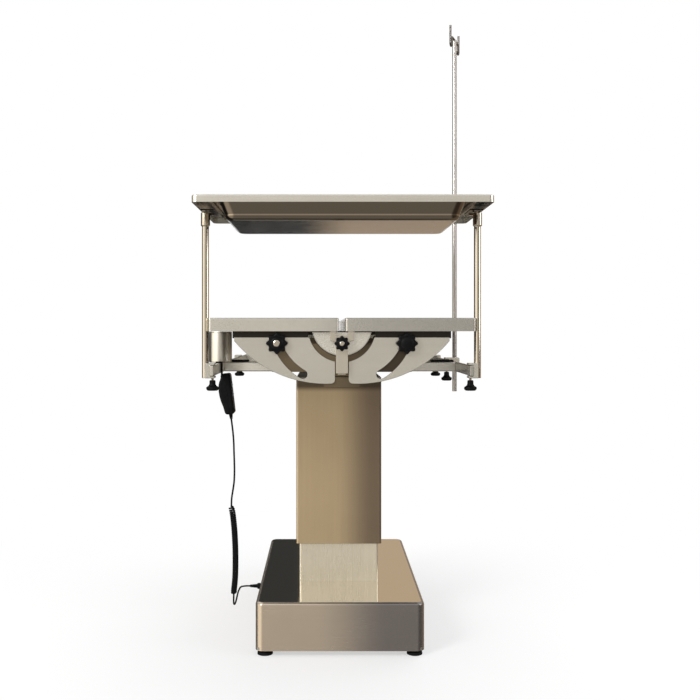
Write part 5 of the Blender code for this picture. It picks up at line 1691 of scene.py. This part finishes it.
class TABLE_OT_pole(bpy.types.Operator):
    """Make the infusion pole with its two hooks"""

    bl_idname = "surgery_table.pole"
    bl_label = "Infusion Pole"

    def execute(self, context):
        room = Room("iv_pole")
        foot = Vector((*POLE_PLACE, room.low.z))
        top = Vector((*POLE_PLACE, room.high.z - HOOK_RISE))
        neck = HOOK_HALF - HOOK_BEND
        bowl = (HOOK_HALF + HOOK_BEND, -HOOK_DROP * HOOK_BEND)
        right = [(0, 0), (neck, 0)] + arc((neck, -HOOK_BEND), HOOK_BEND, QUARTER, 0, 10)[1:]
        right += arc(bowl, HOOK_BEND, math.pi, 2 * math.pi, 18)
        right += [(HOOK_HALF + 2 * HOOK_BEND, HOOK_RISE)]
        profile = [(-u, v) for u, v in reversed(right[1:])] + right
        across = Vector((math.cos(HOOK_TURN), math.sin(HOOK_TURN), 0))
        path = [top + across * u + Vector((0, 0, v)) for u, v in profile]
        mast = bar(foot, top, POLE_RADIUS, ROD_EASE)
        piece("infusion_pole", mast, "iv_mast", "pole_steel", ["iv_pole"], 50)
        piece("infusion_hooks", tube(path, HOOK_RADIUS, 5), "iv_mast", "hook_steel", (), 50)
        return {"FINISHED"}


# Handset and its cup

HANDSET_SIZE = Vector((0.024, 0.044, 0.100))
HANDSET_EDGE = 0.006
HANDSET_TAPER = 0.96
# How far the back swells, by distance below the top
HANDSET_SWELL = (
    (0.009, 0.0), (0.015, 0.0030), (0.020, 0.0055), (0.027, 0.0077), (0.034, 0.0088), (0.042, 0.0092),
    (0.050, 0.0090), (0.058, 0.0082), (0.066, 0.0068), (0.073, 0.0050), (0.080, 0.0030),
)
HANDSET_PLACE = Vector((-RAIL.low.x + HANDSET_SIZE.x / 2, -0.440, RAIL.low.z - 0.001))
HANDSET_TILT = math.radians(7)
# The middle of the handset's top, below the rail and leaning away from it
HANDSET = Matrix.Translation(HANDSET_PLACE) @ Matrix.Rotation(-HANDSET_TILT, 4, "Y")
SEAM = 0.0006
RELIEF_TOP = ((0, 0.002), (0.0062, 0.001), (0.0058, -0.001))
RELIEF_RIBS = tuple((0.0050 - 0.0005 * i, -0.0015 - 0.003 * i) for i in range(4))
RELIEF_RIB = (0.0017, 0.0022, 0.0008)
RELIEF_TIP = ((0.0024, -0.014), (0, -0.014))
STRAP_THICK = 0.004
STRAP_ROOT = 0.013
STRAP_LIP = 0.014
STRAP_WIDTH = 0.014
STRAP_EASE = 0.0015
STRAP_EDGE = 0.0009
BUTTON_RADIUS = 0.006
BUTTON_PROUD = 0.0015
BUTTON_SEAT = 0.003
BUTTON_EDGE = 0.0002
BUTTONS = (("up", 1, 0.030), ("down", -1, 0.052))
ARROW = ((-0.0024, -0.0014), (0.0024, -0.0014), (0, 0.0024))
ARROW_LIFT = 0.0002
ARROW_HEIGHT = 0.0006
ARROW_EDGE = 0.0001
CUP_SHEET = 0.0012
CUP_BEAD = 0.0016
CUP_ROUND = 0.003


def handset_half(down):
    """Half the thickness of the tapered case, a distance below its top."""
    return HANDSET_SIZE.x / 2 * (1 - (1 - HANDSET_TAPER) * down / HANDSET_SIZE.z)


def handset_face(down, proud):
    """A point on the button side, a distance below the top and proud of the face."""
    return HANDSET @ Vector((handset_half(down) + proud, 0, -down))


class TABLE_OT_handset(bpy.types.Operator):
    """Make the wired handset, its buttons and the sheet cup on the rail"""

    bl_idname = "surgery_table.handset"
    bl_label = "Handset and Cup"

    def execute(self, context):
        self.body()
        for name, way, down in BUTTONS:
            self.button(name, way, handset_face(down, BUTTON_PROUD))
        self.cup()
        return {"FINISHED"}

    def shell(self, inset):
        """The case, straight on the button side and swelling at the back, shrunk by an inset."""
        tip = HANDSET_SIZE.z
        profile = [(handset_half(0) - inset, inset), (handset_half(tip) - inset, tip - inset)]
        profile += [(inset - handset_half(tip), tip - inset)]
        profile += [(inset - handset_half(down) - out, down) for down, out in reversed(HANDSET_SWELL)]
        profile += [(inset - handset_half(0), inset)]
        wide = HANDSET_SIZE.y / HANDSET_SIZE.x
        shape = bmesh.new()
        rings = []
        for side in (-1, 1):
            ring = [(x, side * (wide * handset_half(down) - inset), -down) for x, down in profile]
            rings.append([shape.verts.new(place) for place in ring])
            shape.faces.new(rings[-1])
        near, far = rings
        for i in range(len(profile)):
            shape.faces.new((near[i - 1], near[i], far[i], far[i - 1]))
        bmesh.ops.recalc_face_normals(shape, faces=shape.faces)
        sharp = [edge for edge in shape.edges if edge.calc_face_angle() > math.radians(40)]
        round_off(shape, sharp, HANDSET_EDGE, 6)
        return mesh_of(shape)

    def body(self):
        """Two half shells with a seam over a core, with button seats, strain relief and strap."""
        wide, tall = HANDSET_SIZE.y * 0.7, HANDSET_SIZE.z
        slit = rounded_box((-SEAM / 2, -wide, -tall * 1.1), (SEAM / 2, wide, 0.01), 0)
        case = [moved(mesh, HANDSET) for mesh in (carved(self.shell(0), slit), self.shell(SEAM))]
        sink = HANDSET.to_3x3() @ Vector((BUTTON_SEAT, 0, 0))
        for name, way, down in BUTTONS:
            face = handset_face(down, 0)
            for i, mesh in enumerate(case):
                seat = bar(face - sink, face + sink, BUTTON_RADIUS + FIT, BUTTON_EDGE)
                case[i] = carved(mesh, seat)
        relief = [*RELIEF_TOP, *ridges(RELIEF_RIBS, *RELIEF_RIB), *RELIEF_TIP]
        relief = turned([(radius, level - tall) for radius, level in relief], sides=32)
        case.append(moved(relief, HANDSET))
        piece("handset_case", joined(*case, self.strap()), "lift", "black_plastic", ["handset"])

    def strap(self):
        """Strap that hangs the handset on the rail."""
        top = RAIL.high.z + FIT
        lip = -RAIL.high.x - FIT
        root = RAIL.low.z - STRAP_ROOT
        back = -RAIL.low.x + FIT
        outline = (
            (lip - STRAP_THICK, top + STRAP_THICK), (lip - STRAP_THICK, top - STRAP_LIP),
            (lip, top - STRAP_LIP), (lip, top), (back, top), (back, root),
            (back + STRAP_THICK, root), (back + STRAP_THICK, top + STRAP_THICK),
        )
        ys = (HANDSET_PLACE.y - STRAP_WIDTH / 2, HANDSET_PLACE.y + STRAP_WIDTH / 2)
        return plate([eased(outline, STRAP_EASE, True)], "Y", *ys, STRAP_EDGE)

    def button(self, name, way, face):
        node = f"handset_{name}_button"
        turn = HANDSET.to_3x3()
        axis = turn @ Vector((1, 0, 0))
        up = turn @ Vector((0, 0, 1))
        rim = BUTTON_RADIUS
        profile = (
            (0, 0.0002), (rim * 0.6, 0), (rim * 0.92, -0.0004), (rim, -0.0011), (rim, -BUTTON_SEAT),
            (0, -BUTTON_SEAT),
        )
        cap = turned(eased(profile, FINE_EDGE), face, axis, 32)
        piece(f"{node}_cap", cap, name + "_button", "grey_plastic", [node])
        mark = plate([eased(ARROW, FINE_EDGE, True)], "Z", 0, ARROW_HEIGHT, ARROW_EDGE)
        basis = Matrix((up.cross(axis) * way, up * way, axis)).transposed().to_4x4()
        place = Matrix.Translation(face + axis * ARROW_LIFT)
        piece(f"{node}_arrow", moved(mark, place @ basis), name + "_button", "nylon")

    def cup(self):
        """Turned sheet cup with a rolled rim."""
        room = Room("handset_holder")
        low, high = room.low.z, room.high.z
        radius = room.half.x
        inner = radius - CUP_SHEET
        outer = radius - CUP_SHEET * 0.2
        floor = low + CUP_SHEET
        profile = [(0, floor), (inner - CUP_ROUND, floor), (inner, floor + CUP_ROUND)]
        profile += [(inner, high - 2 * CUP_BEAD)]
        roll = (math.radians(200), math.radians(-80))
        profile += arc((radius - CUP_BEAD, high - CUP_BEAD), CUP_BEAD, *roll, 14)
        profile += [(outer, high - 2 * CUP_BEAD - CUT_EDGE), (outer, low + CUP_ROUND)]
        profile += [(radius - 0.0008, low + 0.001), (radius - CUP_ROUND, low), (0, low)]
        cup = turned(profile, (room.centre.x, room.centre.y, 0), sides=64)
        piece("handset_cup", cup, "lift", "cup_steel", ["handset_holder"], 45)


# The handset's cord

LEAD_ROUTE = (
    (-0.2685, -0.440, 0.6100), (-0.2666, -0.440, 0.595), (-0.2643, -0.440, 0.576),
    (-0.2625, -0.440, 0.553), (-0.2618, -0.440, 0.530), (-0.2610, -0.440, 0.505),
    (-0.2606, -0.440, 0.480), (-0.2615, -0.440, 0.455), (-0.2645, -0.440, 0.433),
    (-0.2672, -0.440, 0.416), (-0.2680, -0.440, 0.404),
)
CURL_ROUTE = (
    (-0.268, -0.440, 0.4000), (-0.2645, -0.437, 0.370), (-0.262, -0.422, 0.325),
    (-0.262, -0.400, 0.270), (-0.265, -0.374, 0.205), (-0.271, -0.350, 0.150),
)
TAIL_ROUTE = (
    (-0.2715, -0.3475, 0.1420), (-0.2720, -0.3430, 0.1320), (-0.2720, -0.3360, 0.1245),
    (-0.2710, -0.3260, 0.1205), (-0.2700, -0.3140, 0.1210), (-0.2690, -0.3000, 0.1245),
    (-0.2685, -0.2820, 0.1295), (-0.2680, -0.2620, 0.1335), (-0.2670, -0.2400, 0.1350),
    (-0.2660, -0.2200, 0.1345), (-0.2645, -0.2000, 0.1315), (-0.2620, -0.1840, 0.1280),
    (-0.2575, -0.1715, 0.1255),
)
CURL_TOP = Vector(CURL_ROUTE[0])
CURL_FOOT = Vector(CURL_ROUTE[-1])
TURN_POINTS = 24
INTO_GLAND = Vector((1, 0, 0))
# Straight run into the gland, in cord diameters
GLAND_STRAIGHT = 1.5


def curl_points(first, last, cord):
    """A helix about the curl's line, drawn in to the line at both ends."""
    radius = (cord.curl - cord.diameter) / 2
    start = CURL_TOP + first * cord.diameter
    end = CURL_FOOT - last * cord.diameter
    spine = smooth_route([start, *CURL_ROUTE[1:-1], end], cord.diameter / 4, first, last)
    length = route_length(spine)
    turns = round(length / cord.pitch)
    line = even_steps(spine, length / (turns * TURN_POINTS))
    points = [CURL_TOP, start]
    normal = first.orthogonal().normalized()
    for i in range(1, len(line) - 1):
        tangent = (line[i + 1] - line[i - 1]).normalized()
        normal = (normal - tangent * normal.dot(tangent)).normalized()
        across = tangent.cross(normal)
        angle = 2 * math.pi * i / TURN_POINTS
        ramp = min(1.0, i / TURN_POINTS, (len(line) - 1 - i) / TURN_POINTS)
        reach = radius * (3 * ramp**2 - 2 * ramp**3)
        points.append(line[i] + (normal * math.cos(angle) + across * math.sin(angle)) * reach)
    return points + [end, CURL_FOOT]


class TABLE_OT_cord(bpy.types.Operator):
    """Make the handset's curly cord, from the handset to the gland on the base"""

    bl_idname = "surgery_table.cord"
    bl_label = "Handset Cord"

    def execute(self, context):
        cord = context.scene.table_cord
        step = cord.diameter
        gland = Room("cord_gland")
        tip = Vector((gland.low.x, gland.centre.y, gland.centre.z))
        down = Vector((math.sin(HANDSET_TILT), 0, -math.cos(HANDSET_TILT)))
        first = (CURL_TOP - Vector(LEAD_ROUTE[-1])).normalized()
        last = (Vector(TAIL_ROUTE[1]) - CURL_FOOT).normalized()
        leave = HANDSET @ Vector((0, 0, -HANDSET_SIZE.z - FIT))
        lead = smooth_route([leave, *LEAD_ROUTE, CURL_TOP], step, down, first)
        bend_end = tip - INTO_GLAND * GLAND_STRAIGHT * step
        tail = smooth_route([CURL_FOOT, *TAIL_ROUTE, bend_end], step, last, INTO_GLAND)
        path = lead[:-1] + curl_points(first, last, cord) + tail[1:] + [tip]
        path = [p + COLUMN for p in path]
        wire = new_object("handset_cord", tube(path, cord.diameter / 2))
        wire.data.materials.append(LOOKS["black_rubber"])
        wire.data.shade_smooth()
        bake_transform(wire)
        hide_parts("cord_lead", "cord_curl", "cord_tail")
        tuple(path[0])
        route_length(path)
        return {"FINISHED"}


# Camera, floor and light

SENSOR = 36
FLOOR_RADIUS = 3.0
FLOOR_SIDES = 64
# Where the floor fades to white, and how white it is at the table
FLOOR_FADE = (0.5, 1.6)
FLOOR_WHITE = 0.55
WHITE = (1, 1, 1, 1)
AMBIENT = (0.62, 0.62, 0.62, 1)
WALLS = {
    "back_left": (0.035, 0.035, 0.034, 1), "back_right": (0.48, 0.37, 0.26, 1),
    "front": (0.62, 0.58, 0.52, 1), "front_left": (1.5, 1.38, 1.18, 1),
    "front_right": (0.16, 0.13, 0.10, 1),
}
# Name, place, size, power and aim of each lamp
SOFT_BOXES = (
    ("key_box", (-2.0, -2.6, 2.2), (1.0, 1.2), 70, (0, 0, 0.7)),
    ("fill_box", (2.9, -1.5, 1.7), (1.4, 2.0), 30, (0, 0, 0.7)),
    ("top_box", (0.2, 0.6, 3.4), (3.2, 3.2), 50, (0, 0, 0.6)),
    ("back_box", (1.6, 2.6, 2.2), (3.0, 2.6), 36, (0, 0, 0.8)),
)


def floor_look(colour):
    """Pale floor that keeps the table's shadow and fades to white with distance."""
    surface = Surface(bpy.data.materials.new("pale_floor"))
    distance = surface.node(
        "ShaderNodeVectorMath", {0: surface.coordinates()}, "Value", operation="LENGTH",
    )
    far = surface.fade(distance, *FLOOR_FADE) * (1 - FLOOR_WHITE) + FLOOR_WHITE
    seen = surface.node("ShaderNodeLightPath", output="Is Camera Ray")
    matt = surface.node("ShaderNodeBsdfDiffuse", {"Color": shade(colour, 1)})
    white = surface.node("ShaderNodeEmission", {"Color": WHITE, "Strength": 1.0})
    clear = surface.node("ShaderNodeBsdfTransparent")
    mix = surface.node("ShaderNodeMixShader", {0: far * seen, 1: matt, 2: white})
    mix = surface.node("ShaderNodeMixShader", {0: seen.other("Is Glossy Ray"), 1: mix, 2: clear})
    surface.node("ShaderNodeOutputMaterial", {"Surface": mix})
    return surface.holder


def studio_world():
    """White behind everything; the metal sees a white ceiling over toned studio walls."""
    surface = Surface(bpy.data.worlds.new("studio"))
    side = surface.along("X", "Generated")
    depth = side.other("Y")
    height = side.other("Z")
    back = surface.blend(surface.fade(side, -0.03, 0.03), WALLS["back_left"], WALLS["back_right"])
    front = surface.blend(surface.fade(side, -0.25, -0.60), WALLS["front"], WALLS["front_left"])
    front = surface.blend(surface.fade(side, 0.25, 0.60), front, WALLS["front_right"])
    level = surface.fade(height * height, 0.003, 0.0006) * surface.fade(depth, 0.97, 0.99)
    back = surface.blend(level, back, WHITE)
    walls = surface.blend(surface.fade(depth, -0.15, 0.15), front, back)
    room = surface.blend(surface.fade(height, 0.32, 0.62), walls, WHITE)
    rays = surface.node("ShaderNodeLightPath", output="Is Camera Ray")
    seen = (rays + rays.other("Is Transmission Ray")).limit()
    plain = surface.blend(seen, AMBIENT, WHITE)
    colour = surface.blend(rays.other("Is Glossy Ray"), plain, room)
    shader = surface.node("ShaderNodeBackground", {"Color": colour, "Strength": 1.0})
    surface.node("ShaderNodeOutputWorld", {"Surface": shader})
    return surface.holder


def soft_box(name, place, size, power, target):
    """An area lamp; those behind the table aren't seen in the metal."""
    light = bpy.data.lights.new(name, "AREA")
    light.shape = "RECTANGLE"
    light.size, light.size_y = size
    light.energy = power
    obj = new_object(name, light)
    obj.location = Vector(place) + COLUMN
    aim = Vector(target) - Vector(place)
    obj.rotation_euler = aim.to_track_quat("-Z", "Y").to_euler()
    obj.visible_glossy = place[1] < 0


class TABLE_OT_stage(bpy.types.Operator):
    """Set the camera, the pale floor and the soft studio light"""

    bl_idname = "surgery_table.stage"
    bl_label = "Stage"

    def execute(self, context):
        stage = context.scene.table_stage
        camera = bpy.data.cameras.new("camera")
        camera.lens = stage.lens
        camera.sensor_width = SENSOR
        camera.shift_x, camera.shift_y = stage.shift
        eye = new_object("camera", camera)
        eye.location = Vector(stage.eye) + COLUMN
        eye.rotation_euler = (QUARTER, 0, 0)
        context.scene.camera = eye
        shape = bmesh.new()
        bmesh.ops.create_circle(shape, cap_ends=True, segments=FLOOR_SIDES, radius=FLOOR_RADIUS)
        floor = new_object("floor", mesh_of(shape))
        floor.data.materials.append(floor_look(stage.floor))
        floor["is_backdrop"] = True
        for row in SOFT_BOXES:
            soft_box(*row)
        context.scene.world = studio_world()
        context.scene.view_settings.view_transform = "Standard"
        return {"FINISHED"}


class TABLE_PT_pieces(bpy.types.Panel):
    """The table's pieces, in the order in which they are made"""

    bl_idname = "TABLE_PT_pieces"
    bl_label = "Surgery Table"
    bl_space_type = "VIEW_3D"
    bl_region_type = "UI"
    bl_category = "Surgery Table"

    def draw(self, context):
        layout = self.layout
        for group in GROUPS:
            settings = getattr(context.scene, group)
            box = layout.box()
            for name in type(settings).__annotations__:
                box.prop(settings, name)
        for operator in OPERATORS:
            layout.operator(operator.bl_idname)


GROUPS = {"table_steel": TableSteel, "table_cord": TableCord, "table_stage": TableStage}
OPERATORS = (
    TABLE_OT_stage, TABLE_OT_finishes, TABLE_OT_trees, TABLE_OT_base, TABLE_OT_column,
    TABLE_OT_fittings, TABLE_OT_cord, TABLE_OT_underframe, TABLE_OT_panels, TABLE_OT_quadrants,
    TABLE_OT_brackets, TABLE_OT_gutter, TABLE_OT_star_knobs, TABLE_OT_clamps, TABLE_OT_tray,
    TABLE_OT_pole, TABLE_OT_handset,
)


def register():
    for cls in (*GROUPS.values(), *OPERATORS, TABLE_PT_pieces):
        bpy.utils.register_class(cls)
    for name, group in GROUPS.items():
        setattr(bpy.types.Scene, name, bpy.props.PointerProperty(type=group))


def unregister():
    for name in GROUPS:
        delattr(bpy.types.Scene, name)
    for cls in (TABLE_PT_pieces, *OPERATORS, *GROUPS.values()):
        bpy.utils.unregister_class(cls)


def main():
    register()
    for operator in OPERATORS:
        category, name = operator.bl_idname.split(".")
        getattr(getattr(bpy.ops, category), name)()
    boxes = {"cad": CAD_BOX, "visual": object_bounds()}
    rows = {key: [list(corner) for corner in box] for key, box in boxes.items()}


if __name__ == "__main__":
    main()
